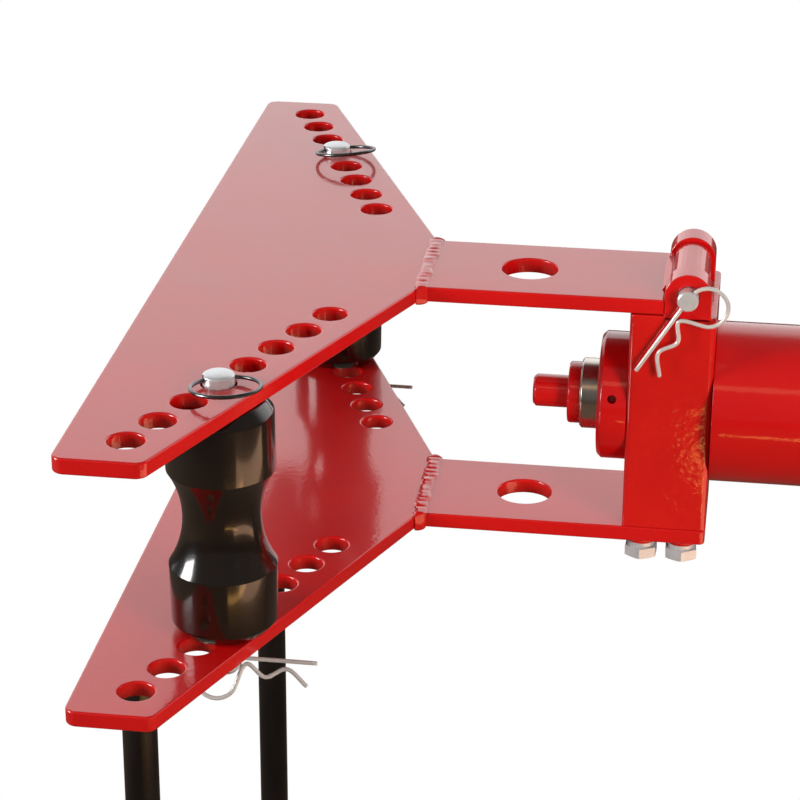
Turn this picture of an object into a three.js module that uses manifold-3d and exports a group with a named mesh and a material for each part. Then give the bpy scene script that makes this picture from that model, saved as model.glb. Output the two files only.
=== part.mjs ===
// A hydraulic pipe bender with an open wing frame, at its real size in millimetres.
// X runs along the ram from the wings' front edge to the pump, Y runs across and Z is up.
// Everything is built round the ram's axis, and the whole is stood on its feet at the end.

import * as THREE from 'three';
import { mergeVertices } from 'three/addons/utils/BufferGeometryUtils.js';
import Module from 'manifold-3d';

// Clearances
const seatGap = 0.1; // between faces that are bolted, welded or pressed together
const runGap = 0.3; // between pieces that slide or turn in each other
const overrun = 2; // how far a cutting shape passes the face it cuts

// Wings and necks: the two plates above and below the pipe
const plateThickness = 10.5;
const plateGap = 157.5;
const wingSpan = 682;
const wingTipWidth = 55;
const wingDepth = 175;
const wingCornerRadius = 8;
const neckWidth = 90;
const neckReach = 140.4;
const neckHoleDiameter = 38;
const neckHoleFromWeld = 69.3;

// Rows of roller holes along the sloping edges
const rollerHoleDiameter = 22.4;
const rollerHolePitch = 32.4;
const rollerHoleToSlope = 26.6;
const rollerHoleFromTip = 21.6;
const rollerHoleCount = 8;
const holesOutsidePinCount = 3;

// Weld beads round the joint between wing and neck
const weldWidth = 10.5;
const weldHeight = 2.4;
const weldRipple = 0.7;
const weldRippleLength = 9;
const weldEdgeRippleCount = 2;

// Head block, which carries the cylinder, and its hinge ears
const blockLength = 57;
const blockTopGap = 0.8;
const blockEdge = 4;
const earRadius = 15.6;
const earWidth = 19;
const hingeFromBlockFront = 37.6;
const hingeAbovePlate = 3;
const knuckleRadius = 13;
const knuckleWeldLeg = 5;

// Hinge pin and its head
const hingePinDiameter = 14;
const hingePinBoreGap = 0.4;
const hingePinProud = 10;
const hingePinHeadDiameter = 22;
const hingePinHeadLength = 5;
const hingePinEdge = 1;

// Bolts that hold the block on the lower neck
const boltDiameter = 12;
const boltAcrossFlats = 21;
const boltHeadHeight = 8;
const boltLength = 42;
const boltSpacing = 27.6;
const boltFromBlockFront = 13.5;
const boltInset = 12.5;
const washerDiameter = 20.5;
const washerThickness = 3;
const lockWasherDiameter = 19;
const lockWasherThickness = 3.4;
const lockWasherSplit = 1.5;

// Gland nut and its wiper
const glandDiameter = 88;
const glandLength = 20.4;
const glandEdge = 3;
const glandSpigotLength = 16;
const glandSpannerHoleDiameter = 6;
const glandSpannerHoleDepth = 9;
const glandSpannerHoles = 4;
const glandSpannerTurn = THREE.MathUtils.degToRad(19);
const wiperDiameter = 60;
const wiperLength = 5;

// Ram, piston and return spring
const ramDiameter = 48.6;
const ramReach = 13;
const ramEdge = 1.5;
const ramStroke = 220;
const noseCollarDiameter = 42.5;
const noseCollarLength = 8.5;
const noseStubDiameter = 22.4;
const noseStubLength = 24.5;
const noseEdge = 2.2;
const noseShankDiameter = 20;
const noseShankLength = 26;
const pistonLength = 26;
const pistonSpigotDiameter = 30;
const pistonSpigotLength = 20;
const pistonSealWidth = 8;
const pistonSealDepth = 5;
const springRoom = 55;
const springWire = 4;
const springTurns = 11;

// Pressure tube inside the tank
const boreDiameter = 66;
const boreWall = 6;

// Tank round the pressure tube
const tankDiameter = 110;
const tankWall = 5;
const tankDiscThickness = 8;
const tankDiscEdge = 2;
const fillerFromPump = 46;
const fillerBossDiameter = 30;
const fillerBossHeight = 9;
const fillerThread = 16;
const fillerThreadLength = 12;
const fillerAcrossFlats = 22;
const fillerHeadHeight = 9;

// Pump body behind the tank
const pumpFlangeThickness = 14;
const pumpLength = 82;
const pumpWidth = 84;
const pumpTop = 44;
const pumpBottom = 48;
const pumpCornerRadius = 10;
const pumpSpigotLength = 8;

// Plunger, its gland and its bore
const plungerDiameter = 16;
const plungerFromFlange = 52.6;
const plungerBossDiameter = 40;
const plungerBossHeight = 12;
const plungerBoreDepth = 84;
const plungerTopAbovePin = 9;
const plungerReachBelowPin = 94;
const plungerEdge = 1;
const plungerGlandAcrossFlats = 30;
const plungerGlandHeight = 10;
const plungerGlandThread = 24;
const plungerGlandThreadLength = 10;
const oilwayDiameter = 5;

// Pump lever: fulcrum, slots and socket
const fulcrumHeight = 100;
const fulcrumPinDiameter = 10;
const fulcrumPinProud = 4;
const leverArm = 40;
const leverHalfSwing = THREE.MathUtils.degToRad(19);
const handleRise = THREE.MathUtils.degToRad(12);
const lugWidth = 16;
const lugRadius = 13;
const cheekThickness = 7;
const cheekRadius = 13;
const cheekLength = 96;
const plungerPinDiameter = 8;
const slotSlack = 0.8;
const slotTravel = 4;
const socketDiameter = 36;
const socketLength = 92;
const socketStart = 78;
const socketLift = 8;
const socketFloor = 14;

// Handle and grip
const handleDiameter = 27;
const handleWall = 2.5;
const handleLength = 520;
const gripDiameter = 34;
const gripLength = 130;
const gripEndThickness = 4;
const gripRibs = 5;
const gripRibDepth = 1.2;

// Release valve on the pump's side
const valveBossDiameter = 30;
const valveBossHeight = 8;
const valveBelowAxis = 14;
const valveStemDiameter = 12;
const valveStemDepth = 26;
const valveStemReach = 22;
const valveKnobDiameter = 36;
const valveKnobLength = 15;
const valveKnobLobes = 8;
const valveKnobFlute = 7;

// Rollers between the plates
const rollerDiameter = 69;
const rollerWaistDiameter = 50;
const rollerGrooveLength = 66;
const rollerEndChamfer = 7;
const rollerEndStep = 5;
const rollerBoreGap = 0.8;

// Roller pins with a cross hole at each end
const rollerPinDiameter = 20;
const rollerPinAbove = 7.4;
const rollerPinBelow = 22.5;
const rollerPinDome = 1.8;
const rollerPinPoint = 3.5;
const ringHoleAbove = 3.2;
const ringHoleDiameter = 5.8;
const clipHoleBelow = 13;

// Pull rings in the roller pins
const ringDiameter = 43;
const ringWire = 2.6;
const nearRingTurn = THREE.MathUtils.degToRad(24);
const nearRingTilt = THREE.MathUtils.degToRad(7);
const farRingTurn = THREE.MathUtils.degToRad(29);
const farRingTilt = THREE.MathUtils.degToRad(12);

// Spring clips, bent from one wire: a straight leg, a loop and a waved leg
const clipWire = 2.8;
const clipHoleDiameter = 5;
const clipLegLength = 64;
const clipLoopRadius = 13.5;
const clipLoopEnd = THREE.MathUtils.degToRad(232);
const clipThroat = 3.6;
const clipBulge = 11.2;
const clipSecondThroat = 5.1;
const clipFlare = 15;
const clipThroatAlong = 18.8;
const clipBulgeAlong = 31.5;
const clipSecondThroatAlong = 45;
const clipFlareAlong = 58.5;
const rollerClipSetback = 5.2;
const hingeClipSetback = 3;
const rollerClipDroop = THREE.MathUtils.degToRad(65);
const hingeClipSlope = THREE.MathUtils.degToRad(58.4);
const hingeClipFromEar = 5;

// Legs and feet
const legDiameter = 23;
const legLength = 450;
const legSpigotDiameter = 14;
const legSpigotHeight = 6;
const legFromFront = 17;
const legFromMiddle = 223.4;
const rearLegFromFlange = 36;
const footDiameter = 36;
const footTopDiameter = 29;
const footHeight = 26;
const footBase = 6;
const footEdge = 2;

// How finely round shapes are divided
const largeSides = 24;
const rollerSides = 18;
const pinSides = 16;
const holeSteps = 7;
const smallSides = 12;
const legSides = 14;
const gripSides = 12;
const hexSides = 6;
const wireSides = 5;
const clipSteps = 30;
const ringSteps = 20;
const cornerSteps = 3;
const cheekSteps = 5;
const coilSteps = 9;
const coilSides = 4;
const knobSteps = 4;

// Places worked out from the sizes
const plateInner = plateGap / 2;
const plateOuter = plateInner + plateThickness;
const blockFront = wingDepth + neckReach;
const blockRear = blockFront + blockLength;
const hingeX = blockFront + hingeFromBlockFront;
const hingeZ = plateOuter + hingeAbovePlate;
const glandFront = blockFront - glandLength;
const ramFront = glandFront - ramReach;
const noseShoulder = ramFront - noseCollarLength;
const noseTip = noseShoulder - noseStubLength;
const glandInner = blockFront + glandSpigotLength;
const pistonFront = glandInner + springRoom + ramStroke;
const pistonRear = pistonFront + pistonLength;
const tankRear = pistonRear + runGap + pumpSpigotLength;
const pumpFlangeRear = tankRear + pumpFlangeThickness;
const pumpRear = tankRear + pumpLength + pumpFlangeThickness;
const plungerX = pumpFlangeRear + plungerFromFlange;
const fulcrumX = plungerX - leverArm;
const plungerPinDrop = leverArm * Math.tan(leverHalfSwing);
const legBottom = -plateOuter - legLength;
const floorZ = legBottom - footBase;
const slopeRun = wingDepth - wingTipWidth;
const slopeRise = (wingSpan - neckWidth) / 2;
const slopeLength = Math.hypot(slopeRun, slopeRise);

const paintRed = { color: 0xc4161c, roughness: 0.3, metalness: 0 };
const rollerBlack = { color: 0x0c0c0e, roughness: 0.22, metalness: 0.3 };
const zincPlate = { color: 0xc8ccd0, roughness: 0.35, metalness: 0.9 };
const groundSteel = { color: 0xb9bcc0, roughness: 0.2, metalness: 1 };
const darkSteel = { color: 0x4a4c50, roughness: 0.45, metalness: 0.8 };
const legBlack = { color: 0x17181a, roughness: 0.5, metalness: 0.2 };
const softRubber = { color: 0x1a1a1a, roughness: 0.85, metalness: 0 };
const sealPolymer = { color: 0x2b2f4a, roughness: 0.6, metalness: 0 };

const wasm = await Module();
wasm.setup();

// Turns a three.js geometry into a solid that can be joined or cut
function solidFrom(geometry) {
  const bare = geometry.clone();
  bare.deleteAttribute('normal');
  bare.deleteAttribute('uv');
  const merged = mergeVertices(bare);
  const corners = merged.index.array;
  const kept = [];
  for (let i = 0; i < corners.length; i += 3) {
    const [a, b, c] = [corners[i], corners[i + 1], corners[i + 2]];
    if (a !== b && b !== c && c !== a) kept.push(a, b, c);
  }
  const vertProperties = merged.attributes.position.array;
  return new wasm.Manifold(new wasm.Mesh({ numProp: 3, vertProperties, triVerts: new Uint32Array(kept) }));
}

function geometryFrom(solid) {
  const mesh = solid.getMesh();
  const geometry = new THREE.BufferGeometry();
  geometry.setAttribute('position', new THREE.Float32BufferAttribute(mesh.vertProperties, 3));
  geometry.setIndex([...mesh.triVerts]);
  geometry.computeVertexNormals();
  return geometry;
}

function joined(...geometries) {
  return geometryFrom(geometries.map(solidFrom).reduce((whole, next) => whole.add(next)));
}

function cutBy(body, ...tools) {
  return geometryFrom(tools.map(solidFrom).reduce((whole, tool) => whole.subtract(tool), solidFrom(body)));
}

// Turns a shape whose axis is Z so that it lies along X or along Y
const layAlongX = (geometry) => geometry.rotateY(Math.PI / 2);
const layAlongY = (geometry) => geometry.rotateX(-Math.PI / 2);

// Solid of revolution about Z, from [radius, height] points that go up the outside
function turned(points, sides) {
  const profile = points.map(([radius, height]) => new THREE.Vector2(radius, height));
  return new THREE.LatheGeometry(profile, sides).rotateX(Math.PI / 2);
}

// Round bar along Z from one height to another, with an optional edge chamfer at each end
function roundBar(diameter, from, to, sides = largeSides, edge = 0) {
  const radius = diameter / 2;
  if (edge === 0) return turned([[0, from], [radius, from], [radius, to], [0, to]], sides);
  const flat = radius - edge;
  return turned(
    [[0, from], [flat, from], [radius, from + edge], [radius, to - edge], [flat, to], [0, to]],
    sides
  );
}

// Tube along Z, closed on itself
function tube(outer, inner, from, to, sides = largeSides) {
  const [bore, radius] = [inner / 2, outer / 2];
  return turned([[bore, from], [radius, from], [radius, to], [bore, to], [bore, from]], sides);
}

// Hexagon prism along Z, from its size across the flats
function hexPrism(acrossFlats, from, to) {
  return roundBar(acrossFlats / Math.cos(Math.PI / hexSides), from, to, hexSides);
}

// Outline through [x, y, corner radius] points
function roundedShape(points) {
  const shape = new THREE.Shape();
  const count = points.length;
  points.forEach(([x, y, radius], i) => {
    const corner = new THREE.Vector2(x, y);
    const before = new THREE.Vector2(...points[(i + count - 1) % count]);
    const after = new THREE.Vector2(...points[(i + 1) % count]);
    const start = corner.clone().add(before.sub(corner).setLength(radius));
    const end = corner.clone().add(after.sub(corner).setLength(radius));
    if (i === 0) shape.moveTo(start.x, start.y);
    else shape.lineTo(start.x, start.y);
    if (radius > 0) shape.quadraticCurveTo(corner.x, corner.y, end.x, end.y);
  });
  shape.closePath();
  return shape;
}

function plate(shape, thickness, curveSegments = holeSteps) {
  return new THREE.ExtrudeGeometry(shape, { depth: thickness, bevelEnabled: false, curveSegments });
}

function roundHole(x, y, diameter) {
  return new THREE.Path().absarc(x, y, diameter / 2, 0, 2 * Math.PI, true);
}

// Wire bent along a curve
function wireAlong(curve, diameter, steps, sides) {
  const section = new THREE.Shape();
  for (let i = 0; i < sides; i++) {
    const angle = (2 * Math.PI * i) / sides;
    const point = [(diameter / 2) * Math.cos(angle), (diameter / 2) * Math.sin(angle)];
    if (i === 0) section.moveTo(...point);
    else section.lineTo(...point);
  }
  section.closePath();
  return new THREE.ExtrudeGeometry(section, { extrudePath: curve, steps, bevelEnabled: false });
}

function piece(name, geometry, finish) {
  const mesh = new THREE.Mesh(geometry, new THREE.MeshStandardMaterial(finish));
  mesh.name = name;
  return mesh;
}

const bender = new THREE.Group();

// Centres of one row of roller holes, on the side that sign gives
function rollerHoleCentres(sign) {
  const along = new THREE.Vector2(slopeRun, -slopeRise).divideScalar(slopeLength);
  const inward = new THREE.Vector2(-slopeRise, -slopeRun).divideScalar(slopeLength);
  return Array.from({ length: rollerHoleCount }, (_, i) => {
    const reach = rollerHoleFromTip + i * rollerHolePitch;
    const centre = new THREE.Vector2(wingTipWidth, wingSpan / 2)
      .addScaledVector(along, reach)
      .addScaledVector(inward, rollerHoleToSlope);
    return [centre.x, sign * centre.y];
  });
}

const nearHoles = rollerHoleCentres(-1);
const farHoles = rollerHoleCentres(1);
const nearPinPlace = nearHoles[holesOutsidePinCount];
const farPinPlace = farHoles[holesOutsidePinCount];

// Trapezoid wing plate with both rows of roller holes
function wingPlate() {
  const [tip, neck] = [wingSpan / 2, neckWidth / 2];
  const shape = roundedShape([
    [0, -tip, wingCornerRadius],
    [wingTipWidth, -tip, wingCornerRadius],
    [wingDepth, -neck, 0],
    [wingDepth, neck, 0],
    [wingTipWidth, tip, wingCornerRadius],
    [0, tip, wingCornerRadius],
  ]);
  shape.holes = [...nearHoles, ...farHoles].map(([x, y]) => roundHole(x, y, rollerHoleDiameter));
  return plate(shape, plateThickness);
}

// Bead that runs round the plates where wing and neck meet
function weldBead() {
  const [halfWidth, halfHeight] = [neckWidth / 2, plateThickness / 2];
  const ripples = Math.round(neckWidth / weldRippleLength);
  const stations = [];
  const sides = [
    [-halfWidth, halfHeight, halfWidth, halfHeight, ripples],
    [halfWidth, halfHeight, halfWidth, -halfHeight, weldEdgeRippleCount],
    [halfWidth, -halfHeight, -halfWidth, -halfHeight, ripples],
    [-halfWidth, -halfHeight, -halfWidth, halfHeight, weldEdgeRippleCount],
  ];
  sides.forEach(([y0, z0, y1, z1, steps], side) => {
    const out = Math.PI / 2 - (side * Math.PI) / 2;
    for (let i = 0; i <= steps; i++) {
      const share = i / steps;
      stations.push([y0 + (y1 - y0) * share, z0 + (z1 - z0) * share, out, i % 2, side % 2]);
    }
    stations.push([y1, z1, out - Math.PI / 4, 0, 1 / 2]);
  });
  const half = weldWidth / 2;
  const sectionShares = [[-1, 0], [-0.5, 0.9], [0.5, 0.9], [1, 0]];
  const positions = [];
  for (const [y, z, out, high, aside] of stations) {
    const height = weldHeight - weldRipple * (1 - high);
    const centre = wingDepth + aside * (half + seatGap);
    for (const [across, up] of sectionShares) {
      const rise = seatGap + height * up;
      const spread = half - (weldRipple / 2) * (1 - high);
      positions.push(centre + spread * across, y + rise * Math.cos(out), z + rise * Math.sin(out));
    }
  }
  const [rows, columns] = [stations.length, sectionShares.length];
  const indices = [];
  for (let i = 0; i < rows; i++) {
    for (let j = 0; j < columns; j++) {
      const [a, b] = [i * columns + j, i * columns + ((j + 1) % columns)];
      const [c, d] = [((i + 1) % rows) * columns + j, ((i + 1) % rows) * columns + ((j + 1) % columns)];
      indices.push(a, b, d, a, d, c);
    }
  }
  const geometry = new THREE.BufferGeometry();
  geometry.setAttribute('position', new THREE.Float32BufferAttribute(positions, 3));
  geometry.setIndex(indices);
  geometry.computeVertexNormals();
  return geometry;
}

// Blind hole for a leg's spigot, cut up from a face at height 0
function legSocket() {
  return roundBar(legSpigotDiameter + 2 * runGap, -overrun, legSpigotHeight + runGap, smallSides);
}

// Lower plate: wing, neck under the block and the bead between them
function lowerFrame() {
  const sockets = [-legFromMiddle, legFromMiddle].map((y) => legSocket().translate(legFromFront, y, 0));
  const wing = cutBy(wingPlate(), ...sockets);
  const neck = roundedShape([
    [wingDepth + seatGap, -neckWidth / 2, 0],
    [blockRear, -neckWidth / 2, blockEdge],
    [blockRear, neckWidth / 2, blockEdge],
    [wingDepth + seatGap, neckWidth / 2, 0],
  ]);
  neck.holes = [roundHole(wingDepth + neckHoleFromWeld, 0, neckHoleDiameter)];
  for (const [x, y] of boltPlaces()) neck.holes.push(roundHole(x, y, boltDiameter + 2 * runGap));
  const pieces = [
    piece('lower_wing', wing.translate(0, 0, -plateOuter), paintRed),
    piece('lower_neck', plate(neck, plateThickness, holeSteps).translate(0, 0, -plateOuter), paintRed),
    piece('lower_neck_weld', weldBead().translate(0, 0, -plateInner - plateThickness / 2), paintRed),
  ];
  return pieces;
}

function boltPlaces() {
  const y = neckWidth / 2 - boltInset;
  const x = blockFront + boltFromBlockFront;
  return [[x, -y], [x + boltSpacing, -y], [x, y], [x + boltSpacing, y]];
}

// Upper plate, which swings up on the hinge
function upperFrame() {
  const knuckleHalf = neckWidth / 2 - earWidth - runGap;
  const earFront = hingeX - earRadius - 2 * runGap;
  const half = neckWidth / 2;
  const neck = roundedShape([
    [wingDepth + seatGap, -half, 0],
    [earFront, -half, 0],
    [earFront, -knuckleHalf, 0],
    [hingeX, -knuckleHalf, 0],
    [hingeX, knuckleHalf, 0],
    [earFront, knuckleHalf, 0],
    [earFront, half, 0],
    [wingDepth + seatGap, half, 0],
  ]);
  neck.holes = [roundHole(wingDepth + neckHoleFromWeld, 0, neckHoleDiameter)];
  const barrelRoom = layAlongY(roundBar(2 * (knuckleRadius + seatGap), -half, half))
    .translate(hingeX, 0, hingeZ);
  const neckPlate = cutBy(plate(neck, plateThickness).translate(0, 0, plateInner), barrelRoom);
  const pinBore = hingePinDiameter + 2 * hingePinBoreGap;
  const barrel = layAlongY(roundBar(2 * knuckleRadius, -knuckleHalf, knuckleHalf))
    .translate(hingeX, 0, hingeZ);
  const filletLeft = hingeX - knuckleRadius - knuckleWeldLeg;
  const fillet = new THREE.Shape([
    new THREE.Vector2(filletLeft, plateOuter + seatGap),
    new THREE.Vector2(hingeX, plateOuter + seatGap),
    new THREE.Vector2(hingeX - knuckleRadius, hingeZ + knuckleWeldLeg),
  ]);
  const filletBar = plate(fillet, 2 * knuckleHalf).rotateX(Math.PI / 2).translate(0, knuckleHalf, 0);
  const bore = layAlongY(roundBar(pinBore, -half, half)).translate(hingeX, 0, hingeZ);
  return [
    piece('upper_wing', wingPlate().translate(0, 0, plateInner), paintRed),
    piece('upper_neck', neckPlate, paintRed),
    piece('upper_neck_weld', weldBead().translate(0, 0, plateInner + plateThickness / 2), paintRed),
    piece('upper_knuckle', cutBy(joined(barrel, filletBar), bore), paintRed),
  ];
}

// Block between the plates, bored for the cylinder, with two hinge ears on top
function headBlock() {
  const half = neckWidth / 2;
  const top = plateInner - blockTopGap;
  const side = roundedShape([
    [blockFront, -half, blockEdge],
    [blockRear, -half, blockEdge],
    [blockRear, half, blockEdge],
    [blockFront, half, blockEdge],
  ]);
  const body = plate(side, plateGap - blockTopGap - seatGap, cornerSteps)
    .translate(0, 0, -plateInner + seatGap);
  const earShape = new THREE.Shape();
  earShape.moveTo(hingeX - earRadius, top - blockEdge);
  earShape.lineTo(hingeX + earRadius, top - blockEdge);
  earShape.lineTo(hingeX + earRadius, hingeZ);
  earShape.absarc(hingeX, hingeZ, earRadius, 0, Math.PI);
  const ears = [-half, half - earWidth].map((y) =>
    plate(earShape, earWidth, holeSteps).rotateX(Math.PI / 2).translate(0, y + earWidth, 0)
  );
  const pinBoreDiameter = hingePinDiameter + 2 * hingePinBoreGap;
  const pinBore = layAlongY(roundBar(pinBoreDiameter, -half - overrun, half + overrun));
  const mainBoreDiameter = boreDiameter + 2 * boreWall + 2 * seatGap;
  const mainBore = roundBar(mainBoreDiameter, blockFront - overrun, blockRear + overrun);
  const boltHoles = boltPlaces().map(([x, y]) =>
    roundBar(boltDiameter + 2 * runGap, -plateInner - overrun, boltTop() + runGap, smallSides)
      .translate(x, y, 0)
  );
  return cutBy(
    joined(body, ...ears),
    pinBore.translate(hingeX, 0, hingeZ),
    layAlongX(mainBore),
    ...boltHoles
  );
}

function boltTop() {
  return -plateOuter - washerThickness - lockWasherThickness + boltLength;
}

// Each bolt has a flat washer under the plate and a split lock washer under that
function boltsAndWashers() {
  const washerTop = -plateOuter - seatGap;
  const lockTop = washerTop - washerThickness - seatGap;
  const seat = lockTop - lockWasherThickness - seatGap;
  const inner = boltDiameter + 2 * runGap;
  const split = new THREE.BoxGeometry(lockWasherDiameter, lockWasherSplit, 2 * lockWasherThickness)
    .translate(lockWasherDiameter / 2, 0, lockTop - lockWasherThickness / 2);
  return boltPlaces().flatMap(([x, y], i) => {
    const shank = roundBar(boltDiameter, seat - seatGap, boltTop(), smallSides);
    const head = hexPrism(boltAcrossFlats, seat - boltHeadHeight, seat);
    const washer = tube(washerDiameter, inner, washerTop - washerThickness, washerTop, smallSides);
    const lock = tube(lockWasherDiameter, inner, lockTop - lockWasherThickness, lockTop, smallSides);
    return [
      piece(`block_bolt_${i + 1}`, joined(shank, head).translate(x, y, 0), zincPlate),
      piece(`bolt_washer_${i + 1}`, washer.translate(x, y, 0), paintRed),
      piece(`bolt_lock_washer_${i + 1}`, cutBy(lock, split).translate(x, y, 0), zincPlate),
    ];
  });
}

// Hinge pin: headed at the far side, cross-drilled for its clip at the near side
function hingePin() {
  const half = neckWidth / 2;
  const radius = hingePinDiameter / 2;
  const tip = -half - hingePinProud;
  const headSeat = half + seatGap;
  const body = turned(
    [
      [0, tip],
      [radius - hingePinEdge, tip],
      [radius, tip + hingePinEdge],
      [radius, headSeat],
      [hingePinHeadDiameter / 2, headSeat],
      [hingePinHeadDiameter / 2, headSeat + hingePinHeadLength - hingePinEdge],
      [hingePinHeadDiameter / 2 - hingePinEdge, headSeat + hingePinHeadLength],
      [0, headSeat + hingePinHeadLength],
    ],
    pinSides
  );
  const crossHole = roundBar(clipHoleDiameter, -hingePinDiameter, hingePinDiameter, smallSides);
  const placedHole = crossHole
    .rotateY(Math.PI / 2 - hingeClipSlope)
    .translate(0, -half - hingeClipFromEar, 0);
  return cutBy(layAlongY(body), placedHole).translate(hingeX, 0, hingeZ);
}

// One spring clip in its own plane: x runs along the straight leg, y towards the waved leg
function springClip(setback) {
  const points = [
    [clipLegLength, 0],
    [clipThroatAlong, 0],
    [clipLoopRadius / 2, 0],
  ];
  const loopPoints = 9;
  for (let i = 0; i <= loopPoints; i++) {
    const angle = (clipLoopEnd * i) / loopPoints;
    points.push([-clipLoopRadius * Math.sin(angle), clipLoopRadius * (1 - Math.cos(angle))]);
  }
  points.push(
    [clipThroatAlong, clipThroat],
    [clipBulgeAlong, clipBulge],
    [clipSecondThroatAlong, clipSecondThroat],
    [clipFlareAlong, clipFlare]
  );
  const curve = new THREE.CatmullRomCurve3(points.map(([x, y]) => new THREE.Vector3(x - setback, y, 0)));
  return wireAlong(curve, clipWire, clipSteps, wireSides);
}

function hingeClip() {
  const clip = piece('hinge_clip', springClip(hingeClipSetback), zincPlate);
  const along = new THREE.Vector3(-Math.cos(hingeClipSlope), 0, -Math.sin(hingeClipSlope));
  const across = new THREE.Vector3(Math.sin(hingeClipSlope), 0, -Math.cos(hingeClipSlope));
  const up = new THREE.Vector3().crossVectors(along, across);
  clip.setRotationFromMatrix(new THREE.Matrix4().makeBasis(along, across, up));
  clip.position.set(hingeX, -neckWidth / 2 - hingeClipFromEar, hingeZ);
  return clip;
}

// Roller with a waisted groove for the pipe
function roller() {
  const bore = rollerPinDiameter / 2 + rollerBoreGap / 2;
  const radius = rollerDiameter / 2;
  const half = plateInner - runGap;
  const grooveHalf = rollerGrooveLength / 2;
  const depth = (rollerDiameter - rollerWaistDiameter) / 2;
  const arcRadius = (grooveHalf ** 2 + depth ** 2) / (2 * depth);
  const arcHalf = Math.asin(grooveHalf / arcRadius);
  const groove = Array.from({ length: holeSteps - 1 }, (_, i) => {
    const angle = arcHalf * ((2 * i) / (holeSteps - 2) - 1);
    return [rollerWaistDiameter / 2 + arcRadius * (1 - Math.cos(angle)), arcRadius * Math.sin(angle)];
  });
  return turned(
    [
      [bore, -half],
      [radius - rollerEndStep, -half],
      [radius, -half + rollerEndChamfer],
      ...groove,
      [radius, half - rollerEndChamfer],
      [radius - rollerEndStep, half],
      [bore, half],
      [bore, -half],
    ],
    rollerSides
  );
}

// Domed pin with one cross hole for the pull ring and one for the clip
function rollerPin(ringTurn) {
  const radius = rollerPinDiameter / 2;
  const [top, bottom] = [plateOuter + rollerPinAbove, -plateOuter - rollerPinBelow];
  const domeShares = [[1, 0], [0.86, 0.45], [0.55, 0.82]];
  const body = turned(
    [
      [0, bottom],
      [radius - rollerPinPoint, bottom],
      [radius, bottom + rollerPinPoint],
      ...domeShares.map(([across, up]) => [radius * across, top - rollerPinDome * (1 - up)]),
      [0, top],
    ],
    pinSides
  );
  const holeHalf = rollerPinDiameter;
  const ringHole = layAlongX(roundBar(ringHoleDiameter, -holeHalf, holeHalf, smallSides))
    .rotateZ(ringTurn)
    .translate(0, 0, plateOuter + ringHoleAbove);
  const clipHole = layAlongX(roundBar(clipHoleDiameter, -holeHalf, holeHalf, smallSides))
    .translate(0, 0, -plateOuter - clipHoleBelow);
  return cutBy(body, ringHole, clipHole);
}

// Ring that hangs through the pin's cross hole, towards the near side
function pullRing(name, [x, y], turn, tilt) {
  const centre = ringDiameter / 2;
  const geometry = new THREE.TorusGeometry(centre, ringWire / 2, wireSides, ringSteps);
  geometry.rotateZ(Math.PI / ringSteps);
  const sag = (rollerPinDiameter / 2) ** 2 / (4 * centre);
  const ring = piece(name, geometry.translate(0, -centre + sag, 0), zincPlate);
  ring.rotation.set(-tilt, 0, turn, 'ZXY');
  ring.position.set(x, y, plateOuter + ringHoleAbove);
  return ring;
}

function rollerClip(name, [x, y]) {
  const clip = piece(name, springClip(rollerClipSetback), zincPlate);
  const along = new THREE.Vector3(1, 0, 0);
  const across = new THREE.Vector3(0, -Math.cos(rollerClipDroop), -Math.sin(rollerClipDroop));
  const up = new THREE.Vector3().crossVectors(along, across);
  clip.setRotationFromMatrix(new THREE.Matrix4().makeBasis(along, across, up));
  clip.position.set(x, y, -plateOuter - clipHoleBelow);
  return clip;
}

function rollerStations() {
  const stations = [
    ['near', nearPinPlace, nearRingTurn, nearRingTilt],
    ['far', farPinPlace, farRingTurn, farRingTilt],
  ];
  return stations.flatMap(([side, place, turn, tilt]) => [
    piece(`${side}_roller`, roller().translate(...place, 0), rollerBlack),
    piece(`${side}_roller_pin`, rollerPin(turn).translate(...place, 0), zincPlate),
    pullRing(`${side}_pull_ring`, place, turn, tilt),
    rollerClip(`${side}_roller_clip`, place),
  ]);
}

// Nut that guides the ram, drilled round its face for a pin spanner
function glandNut() {
  const spigot = boreDiameter + 2 * boreWall;
  const inner = ramDiameter / 2 + runGap;
  const wiperRoom = wiperDiameter / 2;
  const body = turned(
    [
      [inner, glandFront + wiperLength],
      [wiperRoom, glandFront + wiperLength],
      [wiperRoom, glandFront],
      [glandDiameter / 2 - glandEdge, glandFront],
      [glandDiameter / 2, glandFront + glandEdge],
      [glandDiameter / 2, blockFront - seatGap],
      [spigot / 2, blockFront - seatGap],
      [spigot / 2, glandInner],
      [inner, glandInner],
      [inner, glandFront + wiperLength],
    ],
    largeSides
  );
  const holes = Array.from({ length: glandSpannerHoles }, (_, i) => {
    const rim = glandDiameter / 2;
    const hole = roundBar(glandSpannerHoleDiameter, rim - glandSpannerHoleDepth, rim + overrun, hexSides);
    return hole
      .translate(glandFront / 2 + blockFront / 2, 0, 0)
      .rotateX((2 * Math.PI * i) / glandSpannerHoles + Math.PI / 2 - glandSpannerTurn);
  });
  return cutBy(layAlongX(body), ...holes);
}

function wiperSeal() {
  const inner = ramDiameter + 2 * runGap;
  const outer = wiperDiameter - 2 * seatGap;
  const [front, rear] = [glandFront + seatGap, glandFront + wiperLength - seatGap];
  return layAlongX(tube(outer, inner, front, rear));
}

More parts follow.
